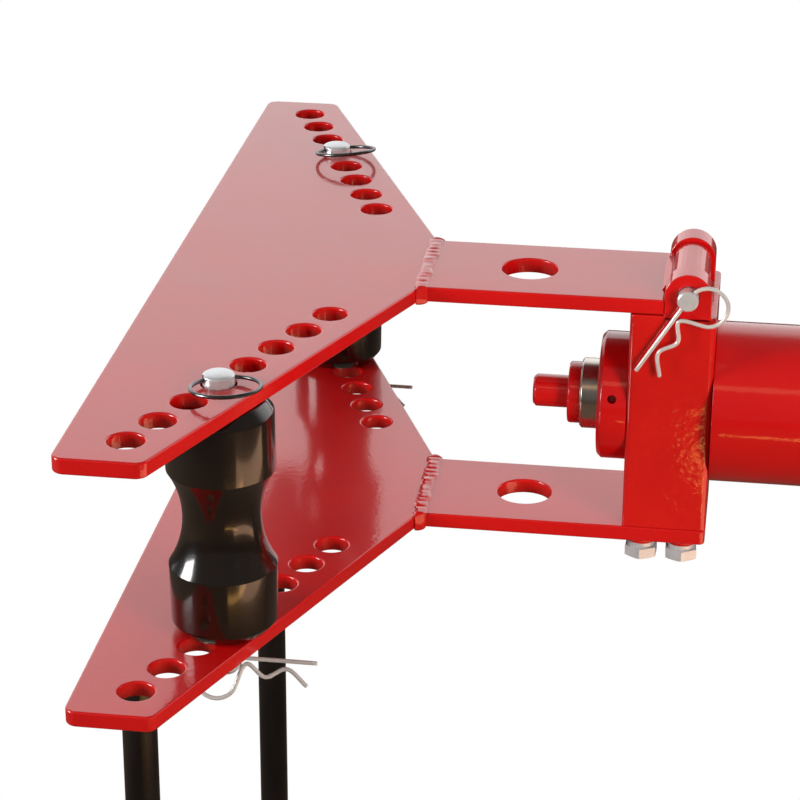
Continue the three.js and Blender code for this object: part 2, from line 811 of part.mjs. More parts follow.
// Ram with its red nose, which carries the bending former, and its piston
function ram() {
  const radius = ramDiameter / 2;
  const noseBore = noseShankDiameter / 2 + seatGap;
  const spigotBore = pistonSpigotDiameter / 2 + seatGap;
  const [noseBoreEnd, spigotBoreStart] = [
    ramFront + noseShankLength + seatGap,
    pistonFront - pistonSpigotLength - seatGap,
  ];
  const rod = turned(
    [
      [0, noseBoreEnd],
      [noseBore, noseBoreEnd],
      [noseBore, ramFront + seatGap],
      [radius - ramEdge, ramFront + seatGap],
      [radius, ramFront + ramEdge],
      [radius, pistonFront - seatGap],
      [spigotBore, pistonFront - seatGap],
      [spigotBore, spigotBoreStart],
      [0, spigotBoreStart],
    ],
    largeSides
  );
  const [stub, collar] = [noseStubDiameter / 2, noseCollarDiameter / 2];
  const nose = turned(
    [
      [0, noseTip],
      [stub - noseEdge, noseTip],
      [stub, noseTip + noseEdge],
      [stub, noseShoulder],
      [collar - noseEdge / 2, noseShoulder],
      [collar, noseShoulder + noseEdge / 2],
      [collar, ramFront],
      [noseShankDiameter / 2, ramFront],
      [noseShankDiameter / 2, ramFront + noseShankLength],
      [0, ramFront + noseShankLength],
    ],
    largeSides
  );
  const head = boreDiameter / 2 - runGap;
  const sealFrom = pistonFront + (pistonLength - pistonSealWidth) / 2;
  const sealRoom = [sealFrom - seatGap, sealFrom + pistonSealWidth + seatGap];
  const piston = turned(
    [
      [0, pistonFront - pistonSpigotLength],
      [pistonSpigotDiameter / 2, pistonFront - pistonSpigotLength],
      [pistonSpigotDiameter / 2, pistonFront],
      [head, pistonFront],
      [head, sealRoom[0]],
      [head - pistonSealDepth, sealRoom[0]],
      [head - pistonSealDepth, sealRoom[1]],
      [head, sealRoom[1]],
      [head, pistonRear],
      [0, pistonRear],
    ],
    largeSides
  );
  const seal = tube(2 * head, 2 * (head - pistonSealDepth + seatGap), sealFrom, sealFrom + pistonSealWidth);
  return [
    piece('ram_rod', layAlongX(rod), groundSteel),
    piece('ram_nose', layAlongX(nose), paintRed),
    piece('piston', layAlongX(piston), darkSteel),
    piece('piston_seal', layAlongX(seal), sealPolymer),
  ];
}

// Coil spring round the ram, which brings it back when the valve is opened
class Coil extends THREE.Curve {
  getPoint(share, target = new THREE.Vector3()) {
    const radius = ramDiameter / 4 + boreDiameter / 4;
    const [start, end] = [glandInner + springWire, pistonFront - springWire];
    const angle = 2 * Math.PI * springTurns * share;
    return target.set(start + (end - start) * share, radius * Math.cos(angle), radius * Math.sin(angle));
  }
}

function pressureTube() {
  const outer = boreDiameter + 2 * boreWall;
  return layAlongX(tube(outer, boreDiameter, glandInner + seatGap, tankRear - seatGap));
}

function tank() {
  const pressure = boreDiameter + 2 * boreWall + 2 * seatGap;
  const radius = tankDiameter / 2;
  const [front, joint] = [blockRear + seatGap, blockRear + tankDiscThickness];
  const disc = turned(
    [
      [pressure / 2, front],
      [radius - tankDiscEdge, front],
      [radius, front + tankDiscEdge],
      [radius, joint],
      [pressure / 2, joint],
      [pressure / 2, front],
    ],
    largeSides
  );
  const tankBore = tankDiameter - 2 * tankWall;
  const shell = layAlongX(tube(tankDiameter, tankBore, joint + seatGap, tankRear - seatGap));
  const fillerX = tankRear - fillerFromPump;
  const bossTop = radius + fillerBossHeight;
  const boss = roundBar(fillerBossDiameter, radius - tankWall, bossTop, pinSides).translate(fillerX, 0, 0);
  const threadEnd = radius - tankWall - overrun;
  const thread = roundBar(fillerThread + 2 * seatGap, threadEnd, bossTop + overrun, smallSides);
  const plug = joined(
    roundBar(fillerThread, bossTop - fillerThreadLength, bossTop + overrun, smallSides),
    hexPrism(fillerAcrossFlats, bossTop + seatGap, bossTop + fillerHeadHeight)
  );
  return [
    piece('tank_front_disc', layAlongX(disc), paintRed),
    piece('tank_tube', cutBy(joined(shell, boss), thread.translate(fillerX, 0, 0)), paintRed),
    piece('filler_plug', plug.translate(fillerX, 0, 0), zincPlate),
  ];
}

// Cast pump body: flange, plunger boss, fulcrum lug, valve boss and leg pocket
function pumpBody() {
  const half = pumpWidth / 2;
  const flange = layAlongX(roundBar(tankDiameter, tankRear, pumpFlangeRear, largeSides, tankDiscEdge));
  const spigot = layAlongX(roundBar(boreDiameter - 2 * seatGap, tankRear - pumpSpigotLength, pumpFlangeRear));
  const outline = roundedShape([
    [-half, -pumpBottom, pumpCornerRadius],
    [half, -pumpBottom, pumpCornerRadius],
    [half, pumpTop, pumpCornerRadius],
    [-half, pumpTop, pumpCornerRadius],
  ]);
  const body = plate(outline, pumpRear - pumpFlangeRear + overrun, cornerSteps)
    .rotateX(Math.PI / 2)
    .rotateZ(Math.PI / 2)
    .translate(pumpFlangeRear - overrun, 0, 0);
  const bossTop = pumpTop + plungerBossHeight;
  const boss = roundBar(plungerBossDiameter, pumpTop - overrun, bossTop, pinSides).translate(plungerX, 0, 0);
  const lugShape = new THREE.Shape();
  lugShape.moveTo(fulcrumX - lugRadius, pumpTop - overrun);
  lugShape.lineTo(fulcrumX + lugRadius, pumpTop - overrun);
  lugShape.lineTo(fulcrumX + lugRadius, fulcrumHeight);
  lugShape.absarc(fulcrumX, fulcrumHeight, lugRadius, 0, Math.PI);
  const lug = plate(lugShape, lugWidth, holeSteps).rotateX(Math.PI / 2).translate(0, lugWidth / 2, 0);
  const valveBoss = layAlongY(roundBar(valveBossDiameter, -half - valveBossHeight, -half + overrun, pinSides))
    .translate(plungerX, 0, -valveBelowAxis);
  const threadEnd = bossTop - plungerGlandThreadLength;
  const valveMouth = -half - valveBossHeight - overrun;
  const cuts = [
    roundBar(plungerDiameter + 2 * runGap, bossTop - plungerBoreDepth, bossTop + overrun, smallSides)
      .translate(plungerX, 0, 0),
    roundBar(plungerGlandThread + 2 * seatGap, threadEnd - seatGap, bossTop + overrun, smallSides)
      .translate(plungerX, 0, 0),
    layAlongY(roundBar(fulcrumPinDiameter + 2 * runGap, -lugWidth, lugWidth, smallSides))
      .translate(fulcrumX, 0, fulcrumHeight),
    layAlongX(roundBar(oilwayDiameter, tankRear - pumpSpigotLength - overrun, plungerX, smallSides)),
    layAlongY(roundBar(valveStemDiameter + 2 * runGap, valveMouth, -valveSeatY(), smallSides))
      .translate(plungerX, 0, -valveBelowAxis),
    legSocket().translate(pumpFlangeRear + rearLegFromFlange, 0, -pumpBottom),
  ];
  return cutBy(joined(flange, spigot, body, boss, lug, valveBoss), ...cuts);
}

function valveSeatY() {
  return pumpWidth / 2 + valveBossHeight - valveStemDepth;
}

// Plunger, its gland, the lever that works it and the pins between them
function pumpWorks() {
  const pinZ = fulcrumHeight - plungerPinDrop;
  const [plungerEnd, plungerTop] = [pinZ - plungerReachBelowPin, pinZ + plungerTopAbovePin];
  const plunger = cutBy(
    roundBar(plungerDiameter, plungerEnd, plungerTop, smallSides, plungerEdge),
    layAlongY(roundBar(plungerPinDiameter + 2 * seatGap, -plungerDiameter, plungerDiameter, smallSides))
      .translate(0, 0, pinZ)
  );
  const bossTop = pumpTop + plungerBossHeight;
  const threadEnd = bossTop - plungerGlandThreadLength;
  const gland = cutBy(
    joined(
      hexPrism(plungerGlandAcrossFlats, bossTop + seatGap, bossTop + plungerGlandHeight),
      roundBar(plungerGlandThread, threadEnd, bossTop + overrun, smallSides)
    ),
    roundBar(plungerDiameter + 2 * runGap, threadEnd - overrun, fulcrumHeight, smallSides)
  );
  const outside = lugWidth / 2 + runGap + cheekThickness;
  const driveEnd = outside + fulcrumPinProud;
  const drivePin = layAlongY(roundBar(plungerPinDiameter, -driveEnd, driveEnd, smallSides, plungerEdge));
  const fulcrumPin = layAlongY(roundBar(fulcrumPinDiameter, -driveEnd, driveEnd, smallSides, plungerEdge));
  return [
    piece('pump_plunger', plunger.translate(plungerX, 0, 0), groundSteel),
    piece('plunger_gland', gland.translate(plungerX, 0, 0), zincPlate),
    piece('plunger_pin', drivePin.translate(plungerX, 0, pinZ), zincPlate),
    piece('fulcrum_pin', fulcrumPin.translate(fulcrumX, 0, fulcrumHeight), zincPlate),
  ];
}

// Lever in its own frame, with the fulcrum at the origin and the slots on its X axis
function leverSocket() {
  const inner = lugWidth / 2 + runGap;
  const cheekShape = new THREE.Shape();
  cheekShape.moveTo(0, -cheekRadius);
  cheekShape.lineTo(cheekLength, -cheekRadius + socketLift);
  cheekShape.lineTo(cheekLength, cheekRadius + socketLift);
  cheekShape.lineTo(0, cheekRadius);
  cheekShape.absarc(0, 0, cheekRadius, Math.PI / 2, (3 * Math.PI) / 2);
  const slotCentre = leverArm / Math.cos(leverHalfSwing) - slotTravel / 2;
  const slotHalf = plungerPinDiameter / 2 + slotSlack;
  const slot = roundedShape([
    [slotCentre - slotHalf - slotTravel, -slotHalf, slotHalf],
    [slotCentre + slotHalf + slotTravel, -slotHalf, slotHalf],
    [slotCentre + slotHalf + slotTravel, slotHalf, slotHalf],
    [slotCentre - slotHalf - slotTravel, slotHalf, slotHalf],
  ]);
  cheekShape.holes = [slot, roundHole(0, 0, fulcrumPinDiameter + 2 * runGap)];
  const cheeks = [-inner - cheekThickness, inner].map((y) =>
    plate(cheekShape, cheekThickness, cheekSteps).rotateX(Math.PI / 2).translate(0, y + cheekThickness, 0)
  );
  const rise = leverHalfSwing + handleRise;
  const socket = layAlongX(roundBar(socketDiameter, 0, socketLength, pinSides))
    .rotateY(-rise)
    .translate(socketStart, 0, socketLift);
  const room = layAlongX(roundBar(handleDiameter + 2 * runGap, socketFloor, socketLength + overrun, pinSides))
    .rotateY(-rise)
    .translate(socketStart, 0, socketLift);
  return cutBy(joined(...cheeks, socket), room);
}

// Handle tube pushed into the socket, and its ribbed grip
function handlePieces() {
  const start = socketFloor + runGap;
  const end = start + handleLength;
  const bar = layAlongX(tube(handleDiameter, handleDiameter - 2 * handleWall, start, end, gripSides));
  const gripStart = end - gripLength;
  const [outer, inner] = [gripDiameter / 2, handleDiameter / 2 + seatGap];
  const ribs = [];
  for (let i = 0; i < gripRibs; i++) {
    const from = gripStart + gripLength * ((i + 0.5) / (gripRibs + 1));
    const step = gripLength / (gripRibs + 1) / 2;
    ribs.push([outer, from], [outer - gripRibDepth, from + step]);
  }
  const grip = turned(
    [
      [inner, gripStart],
      [outer - gripRibDepth, gripStart],
      ...ribs,
      [outer, end],
      [outer - gripEndThickness / 2, end + seatGap + gripEndThickness],
      [0, end + seatGap + gripEndThickness],
      [0, end + seatGap],
      [inner, end + seatGap],
      [inner, gripStart],
    ],
    gripSides
  );
  return [piece('handle_tube', bar, legBlack), piece('handle_grip', layAlongX(grip), softRubber)];
}

function leverGroup() {
  const lever = new THREE.Group();
  lever.add(piece('lever_socket', leverSocket(), paintRed));
  const handle = new THREE.Group();
  handle.add(...handlePieces());
  handle.rotation.y = -(leverHalfSwing + handleRise);
  handle.position.set(socketStart, 0, socketLift);
  lever.add(handle);
  lever.rotation.y = leverHalfSwing;
  lever.position.set(fulcrumX, 0, fulcrumHeight);
  return lever;
}

// Release valve: a threaded stem turned by a fluted knob
function releaseValve() {
  const bossFace = pumpWidth / 2 + valveBossHeight;
  const stemEnd = bossFace + valveStemReach;
  const stem = layAlongY(
    roundBar(valveStemDiameter, -stemEnd, -valveSeatY() - runGap, smallSides, plungerEdge)
  );
  const outline = new THREE.Shape();
  const turns = valveKnobLobes * knobSteps;
  for (let i = 0; i < turns; i++) {
    const angle = (2 * Math.PI * i) / turns;
    const flute = Math.max(0, Math.cos(valveKnobLobes * angle)) ** 2;
    const radius = valveKnobDiameter / 2 - (valveKnobFlute / 4) * flute;
    const point = [radius * Math.cos(angle), radius * Math.sin(angle)];
    if (i === 0) outline.moveTo(...point);
    else outline.lineTo(...point);
  }
  outline.closePath();
  outline.holes = [roundHole(0, 0, valveStemDiameter + 2 * seatGap)];
  const knob = plate(outline, valveKnobLength, smallSides / 2)
    .rotateX(Math.PI / 2)
    .translate(0, -stemEnd + valveKnobLength, 0);
  return [
    piece('release_stem', stem.translate(plungerX, 0, -valveBelowAxis), groundSteel),
    piece('release_knob', knob.translate(plungerX, 0, -valveBelowAxis), legBlack),
  ];
}

// A leg with the spigot that plugs it in from below, and its rubber foot
function legAndFoot(name, x, y, top) {
  const radius = legDiameter / 2;
  const spigot = legSpigotDiameter / 2;
  const leg = turned(
    [
      [0, legBottom],
      [radius, legBottom],
      [radius, top - seatGap],
      [spigot, top - seatGap],
      [spigot, top + legSpigotHeight],
      [0, top + legSpigotHeight],
    ],
    legSides
  );
  const [wide, narrow] = [footDiameter / 2, footTopDiameter / 2];
  const inner = radius + seatGap;
  const foot = turned(
    [
      [0, floorZ],
      [wide - footEdge, floorZ],
      [wide, floorZ + footEdge],
      [wide, floorZ + footBase],
      [narrow, floorZ + footHeight],
      [inner, floorZ + footHeight],
      [inner, legBottom - seatGap],
      [0, legBottom - seatGap],
    ],
    legSides
  );
  return [
    piece(`${name}_leg`, leg.translate(x, y, 0), legBlack),
    piece(`${name}_foot`, foot.translate(x, y, 0), softRubber),
  ];
}

bender.add(...lowerFrame());
bender.add(piece('head_block', headBlock(), paintRed));
bender.add(...boltsAndWashers());
bender.add(...upperFrame());
bender.add(piece('hinge_pin', hingePin(), zincPlate), hingeClip());
bender.add(...rollerStations());
bender.add(piece('gland_nut', glandNut(), paintRed), piece('wiper_seal', wiperSeal(), sealPolymer));
bender.add(...ram());
const spring = wireAlong(new Coil(), springWire, springTurns * coilSteps, coilSides);
bender.add(piece('return_spring', spring, darkSteel));
bender.add(piece('pressure_tube', pressureTube(), darkSteel));
bender.add(...tank());
bender.add(piece('pump_body', pumpBody(), paintRed));
bender.add(...pumpWorks());
bender.add(leverGroup());
bender.add(...releaseValve());
bender.add(...legAndFoot('near', legFromFront, -legFromMiddle, -plateOuter));
bender.add(...legAndFoot('far', legFromFront, legFromMiddle, -plateOuter));
bender.add(...legAndFoot('rear', pumpFlangeRear + rearLegFromFlange, 0, -pumpBottom));

// The origin is on the floor, under the middle of the whole
const reach = new THREE.Box3().setFromObject(bender, true);
const middle = reach.getCenter(new THREE.Vector3());
bender.position.set(-middle.x, -middle.y, -reach.min.z);

export default bender;
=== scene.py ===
import math

import bmesh
import bpy
from mathutils import Matrix, Vector


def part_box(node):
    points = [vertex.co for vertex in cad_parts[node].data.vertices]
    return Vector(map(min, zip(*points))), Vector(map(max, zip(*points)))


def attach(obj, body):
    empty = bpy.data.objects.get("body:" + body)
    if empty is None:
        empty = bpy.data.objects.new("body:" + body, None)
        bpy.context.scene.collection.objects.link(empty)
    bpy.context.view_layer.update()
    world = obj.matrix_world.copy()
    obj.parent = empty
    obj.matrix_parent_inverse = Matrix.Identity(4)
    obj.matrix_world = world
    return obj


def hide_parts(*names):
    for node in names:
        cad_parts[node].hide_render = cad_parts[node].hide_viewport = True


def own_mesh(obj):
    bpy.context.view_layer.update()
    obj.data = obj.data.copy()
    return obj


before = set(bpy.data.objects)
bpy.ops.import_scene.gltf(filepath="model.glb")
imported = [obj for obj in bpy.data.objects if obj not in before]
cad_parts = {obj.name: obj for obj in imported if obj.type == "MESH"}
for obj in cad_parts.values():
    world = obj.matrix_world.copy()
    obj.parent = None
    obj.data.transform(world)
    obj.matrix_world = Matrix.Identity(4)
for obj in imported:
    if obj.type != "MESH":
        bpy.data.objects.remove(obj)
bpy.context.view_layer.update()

scene = bpy.context.scene

# Places read from the frame, in millimetres: x from the wings' front edge, z from the ram's axis
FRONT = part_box("upper_wing")[0].x
RAM_HEIGHT = (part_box("gland_nut")[0].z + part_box("gland_nut")[1].z) / 2


def P(x, y, z):
    """The place in the frame, in metres, of a place in millimetres."""
    return Vector((FRONT + x / 1000, y / 1000, RAM_HEIGHT + z / 1000))


def corners(node):
    """A node's lowest and highest corners, in millimetres."""
    return [(corner - P(0, 0, 0)) * 1000 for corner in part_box(node)]


def middle(node):
    low, high = corners(node)
    return (low + high) / 2


wing_low, wing_high = corners("upper_wing")
neck_high = corners("lower_neck")[1]
block_low, block_high = corners("head_block")
pin_low, pin_high = corners("near_roller_pin")
gland_low, gland_high = corners("gland_nut")
nose_high = corners("ram_nose")[1]
tank_low, tank_high = corners("tank_tube")
washer_low, washer_high = corners("bolt_washer_1")
lock_low, lock_high = corners("bolt_lock_washer_1")
bolt_low, bolt_high = corners("block_bolt_1")
SPAN, DEPTH = wing_high.y - wing_low.y, wing_high.x
INNER, OUTER = wing_low.z, wing_high.z
THICKNESS = OUTER - INNER
NECK = neck_high.y
BLOCK, BLOCK_END = block_low.x, block_high.x
HINGE = middle("hinge_pin")
GLAND = gland_low.x

# Sizes in millimetres that the frame's boxes don't give, mostly the same as in the part's source
GAP, PLAY, NECK_CUT_PLAY = 0.1, 0.3, 0.2
WING_TIP, WING_CORNER, WING_EDGE = 55, 8, 1.4
HOLE, HOLE_PITCH, HOLE_TO_SLOPE, HOLE_FROM_TIP, HOLE_COUNT = 22.4, 32.4, 26.6, 21.6, 8
NECK_HOLE, NECK_HOLE_FROM_WELD = 38, 69.3
BLOCK_CORNER, BLOCK_EDGE, BLOCK_TOP_GAP = 4, 1.0, 0.8
EAR_RADIUS, EAR_WIDTH, EAR_FOOT, EAR_EDGE = 15.6, 19, 3, 0.9
KNUCKLE_RADIUS = 13
HINGE_PIN, HINGE_PIN_BORE, HINGE_PIN_PAST_EAR = 14, 14.8, 8.5
HINGE_PIN_HEAD, HINGE_PIN_HEAD_HEIGHT, HINGE_CLIP_FROM_EAR = 22, 5, 5
PIN, PIN_DOME, PIN_POINT, RING_HOLE_ABOVE, RING_HOLE = 20, 1.8, 3.5, 3.2, 5.8
RING, RING_WIRE = 43, 2.6
CLIP_WIRE, CLIP_HOLE, CLIP_HOLE_BELOW, CLIP_SETBACK = 2.8, 5, 13, 5.2
CLIP_LOOP, CLIP_LOOP_TURN, CLIP_LEG, CLIP_MOUTH = 13.5, math.radians(232), 64, 18.8
CLIP_WAVES = [(CLIP_MOUTH, 3.6), (31.5, 11.2), (45, 5.1), (58.5, 15)]
HINGE_CLIP_SETBACK = 3
CLIP_DROOP, HINGE_CLIP_SLOPE = math.radians(65), math.radians(58.4)
ROLLER, ROLLER_WAIST, ROLLER_GROOVE, ROLLER_BORE = 69, 50, 66, 20.8
MAIN_BORE, ROD, ROD_EDGE, WIPER, WIPER_DEPTH = 78.2, 48.6, 1.5, 60, 5
GLAND_EDGE, SPANNER_HOLE, SPANNER_HOLE_DEPTH, SPANNER_TURN = 3, 6, 9, math.radians(19)
COLLAR, COLLAR_LENGTH, COLLAR_EDGE = 42.5, 8.5, 1.1
STUB, STUB_LENGTH, NOSE_EDGE, NOSE_SHANK, NOSE_SHANK_LENGTH = 22.4, 24.5, 2.2, 20, 26
PISTON_LENGTH, PISTON_SPIGOT_RADIUS = 20, 15.1
SPRING_WIRE, SPRING_TURNS, SPRING_STEPS, RAM_STROKE = 4, 11, 32, 220
TANK, TANK_WALL, TANK_DISC, DISC_SEAM = 110, 5, 8, 0.01
FILLER_BOSS, FILLER_THREAD = 30, 16.2
FLANGE, FLANGE_EDGE = 14, 1.8
PLUNGER_BOSS, PLUNGER_BOSS_BORE, PLUNGER_BOSS_FOOT, GLAND_HEAD = 40, 24.4, 12, 10
VALVE_BOSS, VALVE_BOSS_BORE, VALVE_BOSS_FACE = 30, 13, -50
SKIN = 0.1  # how far turned boss faces stand over the casting's own
BOLT, BOLT_FLATS, BOLT_WASHER, LOCK_WASHER, LOCK_SPLIT = 12, 21, 20.5, 19, 1.5
BOLT_TURNS = (-3, 3, 14, -21)  # how far each bolt head has been turned, in degrees
LEG, LEG_SPIGOT, LEG_SPIGOT_HEIGHT = 23, 14, 6
FOOT, FOOT_TOP, FOOT_HEIGHT, FOOT_BASE = 36, 29, 26, 6
HANDLE, HANDLE_WALL, HANDLE_RISE = 27, 2.5, math.radians(12)
GRIP, GRIP_LENGTH, GRIP_RIBS, GRIP_RIB_HEIGHT, GRIP_END = 34, 130, 11, 1.2, 4.1
NEAR_RING, FAR_RING = (math.radians(24), math.radians(7)), (math.radians(29), math.radians(12))
RAM_FRONT = nose_high.x - NOSE_SHANK_LENGTH

# Angles in degrees above which an edge is shaded sharp
TURNED, PLATE, WIRE, SOLID = 32, 40, 60, 35


# Camera, at the photograph's viewing angle
FOCAL_PIXELS, PICTURE_PIXELS, SENSOR, VIEW_END = 2646.83, 800, 36, 50
YAW, PITCH, ROLL = -0.1405, -0.4197, -0.0041
CAMERA_AT = Vector((391.97, -1671.4, OUTER + 649.58))


def add_camera():
    ahead = Vector((math.sin(YAW) * math.cos(PITCH), math.cos(YAW) * math.cos(PITCH), math.sin(PITCH)))
    level = Vector((math.cos(YAW), -math.sin(YAW), 0))
    upright = level.cross(ahead)
    right = math.cos(ROLL) * level - math.sin(ROLL) * upright
    up = math.sin(ROLL) * level + math.cos(ROLL) * upright
    camera = bpy.data.objects.new("camera", bpy.data.cameras.new("camera"))
    scene.collection.objects.link(camera)
    turn = Matrix((right, up, -ahead)).transposed().to_4x4()
    camera.matrix_world = Matrix.Translation(P(*CAMERA_AT)) @ turn
    camera.data.sensor_width = SENSOR
    camera.data.lens = FOCAL_PIXELS * SENSOR / PICTURE_PIXELS
    camera.data.clip_end = VIEW_END
    scene.camera = camera
    scene.view_settings.view_transform = "Standard"


# Materials
def add_node(tree, kind, values=None, links=None, **settings):
    """A shader node with its settings, and its sockets given values or linked to other outputs."""
    node = tree.nodes.new("ShaderNode" + kind)
    for setting, value in settings.items():
        setattr(node, setting, value)
    for socket, value in (values or {}).items():
        node.inputs[socket].default_value = value
    for socket, out in (links or {}).items():
        tree.links.new(out, node.inputs[socket])
    return node


def map_range(tree, value, start, end, low, high, curve="LINEAR"):
    """A value's range from start to end, mapped to low and high."""
    limits = {"From Min": start, "From Max": end, "To Min": low, "To Max": high}
    return add_node(tree, "MapRange", limits, {0: value}, interpolation_type=curve).outputs[0]


class Finish:
    """A Principled material with the texture nodes that feed it."""

    def __init__(self, name):
        self.material = bpy.data.materials.new(name)
        self.material.use_nodes = True
        self.tree = self.material.node_tree
        self.tree.nodes.clear()
        output = self.add("OutputMaterial")
        self.shader = self.add("BsdfPrincipled")
        self.tree.links.new(self.shader.outputs[0], output.inputs[0])
        self.place = self.add("TexCoord").outputs["Object"]

    def add(self, kind, values=None, links=None):
        return add_node(self.tree, kind, values, links)

    def feed(self, out, socket):
        """Links an output to one of the shader's own sockets."""
        self.tree.links.new(out, self.shader.inputs[socket])

    def fixed(self, **values):
        """Values that are the same all over the surface, set on the shader's own sockets."""
        for name, value in values.items():
            self.shader.inputs[name.replace("_", " ")].default_value = value

    def noise(self, scale, detail=4.0, roughness=0.55, stretch=None):
        place = self.place
        if stretch:
            place = self.add("Mapping", {"Scale": stretch}, {0: place}).outputs[0]
        values = {"Scale": scale, "Detail": detail, "Roughness": roughness}
        return self.add("TexNoise", values, {"Vector": place}).outputs[0]

    def colour(self, value, dark, light, start=0.3, end=0.7):
        """The base colour, from dark to light as a value goes from start to end."""
        node = self.add("ValToRGB", links={0: value})
        first, last = node.color_ramp.elements
        first.position, first.color = start, (*dark, 1)
        last.position, last.color = end, (*light, 1)
        self.feed(node.outputs[0], "Base Color")
        return node.outputs[0]

    def specked(self, base, mask, tint):
        """The base colour with specks of another tint where a mask is above 0."""
        node = self.add("MixRGB", {"Color2": (*tint, 1)}, {"Color1": base, "Fac": mask})
        self.feed(node.outputs[0], "Base Color")

    def rough(self, value, low, high):
        self.feed(map_range(self.tree, value, 0, 1, low, high), "Roughness")

    def bumps(self, *heights, coat=False):
        """Bump maps laid one on another: (value, strength, distance in millimetres)."""
        links = {}
        for value, strength, distance in heights:
            links["Height"] = value
            bump = self.add("Bump", {"Strength": strength, "Distance": distance / 1000}, links)
            links["Normal"] = bump.outputs[0]
        self.feed(links["Normal"], "Normal")
        if coat:
            self.feed(links["Normal"], "Coat Normal")


DUST_RED, DUST_FROM, DUST_EDGE, DUST_COVER = (0.20, 0.012, 0.008), 0.74, 0.08, 0.6
WORN_BLACK = (0.0022, 0.0019, 0.0020)
TURNING, WIRE_GRAIN, ROD_GRAIN = (2, 2, 1500), (200, 200, 200), (1400, 30, 30)


def red_enamel(name, dark, light, lumps=0.0, dirt=0.0, lump_scale=120):
    """Gloss enamel over steel: orange peel, a drifting tone and a few specks of dust."""
    finish = Finish(name)
    tone = finish.noise(14, 3)
    base = finish.colour(tone, dark, light)
    threshold = DUST_FROM - dirt
    dust = map_range(finish.tree, finish.noise(520, 1), threshold, threshold + DUST_EDGE, 0, DUST_COVER)
    finish.specked(base, dust, DUST_RED)
    finish.rough(tone, 0.34, 0.46)
    finish.fixed(Specular_IOR_Level=0.22, Coat_Weight=1.0, Coat_Roughness=0.07, Coat_IOR=1.52)
    heights = [(finish.noise(300, 2.5, 0.5), 0.14, 0.5), (finish.noise(900, 2), 0.04, 0.2)]
    if lumps:
        heights.insert(0, (finish.noise(lump_scale, 3), lumps, 2))
    finish.bumps(*heights, coat=True)
    return finish.material


def black_enamel(name, brown, rough, turning=0.0, coat=0.35):
    """Thin black gloss, brownish where it has worn, with the tool's turning marks under it."""
    finish = Finish(name)
    tone = finish.noise(22, 4, 0.6, (1, 1, 0.35))
    finish.colour(tone, WORN_BLACK, brown, 0.35, 0.75)
    finish.rough(finish.noise(60, 5, 0.6, (1, 1, 0.15)), rough - 0.05, rough + 0.1)
    finish.fixed(IOR=1.45, Coat_Weight=coat, Coat_Roughness=0.08)
    heights = [(finish.noise(260, 3), 0.08, 0.4)]
    if turning:
        heights.append((finish.noise(1, 2, 0.5, TURNING), turning, 0.12))
    finish.bumps(*heights)
    return finish.material


def bare_metal(name, dark, light, rough, grain=(40, 40, 1200), depth=0.25, metallic=1.0):
    """Bare or plated steel with its grain along one direction."""
    finish = Finish(name)
    tone = finish.noise(45, 4)
    finish.colour(tone, dark, light)
    finish.fixed(Metallic=metallic)
    finish.rough(tone, rough - 0.06, rough + 0.1)
    finish.bumps((finish.noise(300, 3), 0.06, 0.3), (finish.noise(1, 3, 0.6, grain), depth, 0.08))
    return finish.material


def matte(name, dark, light):
    finish = Finish(name)
    tone = finish.noise(60, 4)
    finish.colour(tone, dark, light, 0.3, 0.8)
    finish.rough(tone, 0.62, 0.85)
    finish.bumps((finish.noise(700, 4), 0.3, 0.4))
    return finish.material


RED = red_enamel("red_enamel", (0.56, 0.0035, 0.0045), (0.64, 0.0045, 0.005))
WELD = red_enamel("red_enamel_on_weld", (0.53, 0.0038, 0.0045), (0.63, 0.005, 0.005), lumps=0.13, dirt=0.05)
CAST_RED = red_enamel("red_enamel_on_casting", (0.56, 0.0045, 0.0045), (0.66, 0.007, 0.005),
                      lumps=0.2, dirt=0.03, lump_scale=45)
ROLLER_BLACK = black_enamel("black_roller_enamel", (0.012, 0.006, 0.003), 0.17, turning=0.35, coat=0.85)
LEG_BLACK = black_enamel("black_leg_enamel", (0.012, 0.009, 0.0075), 0.26, turning=0.2)
KNOB_BLACK = black_enamel("black_knob", (0.02, 0.019, 0.018), 0.4)
ZINC = bare_metal("zinc_plate", (0.64, 0.66, 0.68), (0.82, 0.84, 0.86), 0.28, metallic=0.5)
RING_STEEL = bare_metal("dark_wire", (0.10, 0.10, 0.105), (0.22, 0.22, 0.225), 0.26, WIRE_GRAIN, 0.1)
CLIP_STEEL = bare_metal("clip_wire", (0.66, 0.65, 0.63), (0.86, 0.85, 0.83), 0.30, WIRE_GRAIN, 0.1, 0.4)
ROD_STEEL = bare_metal("ground_ram_steel", (0.56, 0.50, 0.44), (0.74, 0.69, 0.63), 0.24, ROD_GRAIN, 0.9)
DARK_STEEL = bare_metal("oiled_steel", (0.10, 0.10, 0.105), (0.20, 0.20, 0.21), 0.36)
RUBBER = matte("foot_rubber", (0.010, 0.010, 0.010), (0.030, 0.029, 0.028))
SEAL = matte("seal_polymer", (0.010, 0.011, 0.016), (0.026, 0.028, 0.040))


# Mesh helpers
STRAIGHT = math.radians(165)  # corners flatter than this get no fillet
POLE = 1e-6  # a smaller radius is a single point
WIRE_END = ((0.25, 0.75), (0.1, 0.93))  # rows that soften a wire's end: how far out, how wide, in radii


def smooth(mesh, angle):
    mesh.polygons.foreach_set("use_smooth", [True] * len(mesh.polygons))
    mesh.set_sharp_from_angle(angle=math.radians(angle))


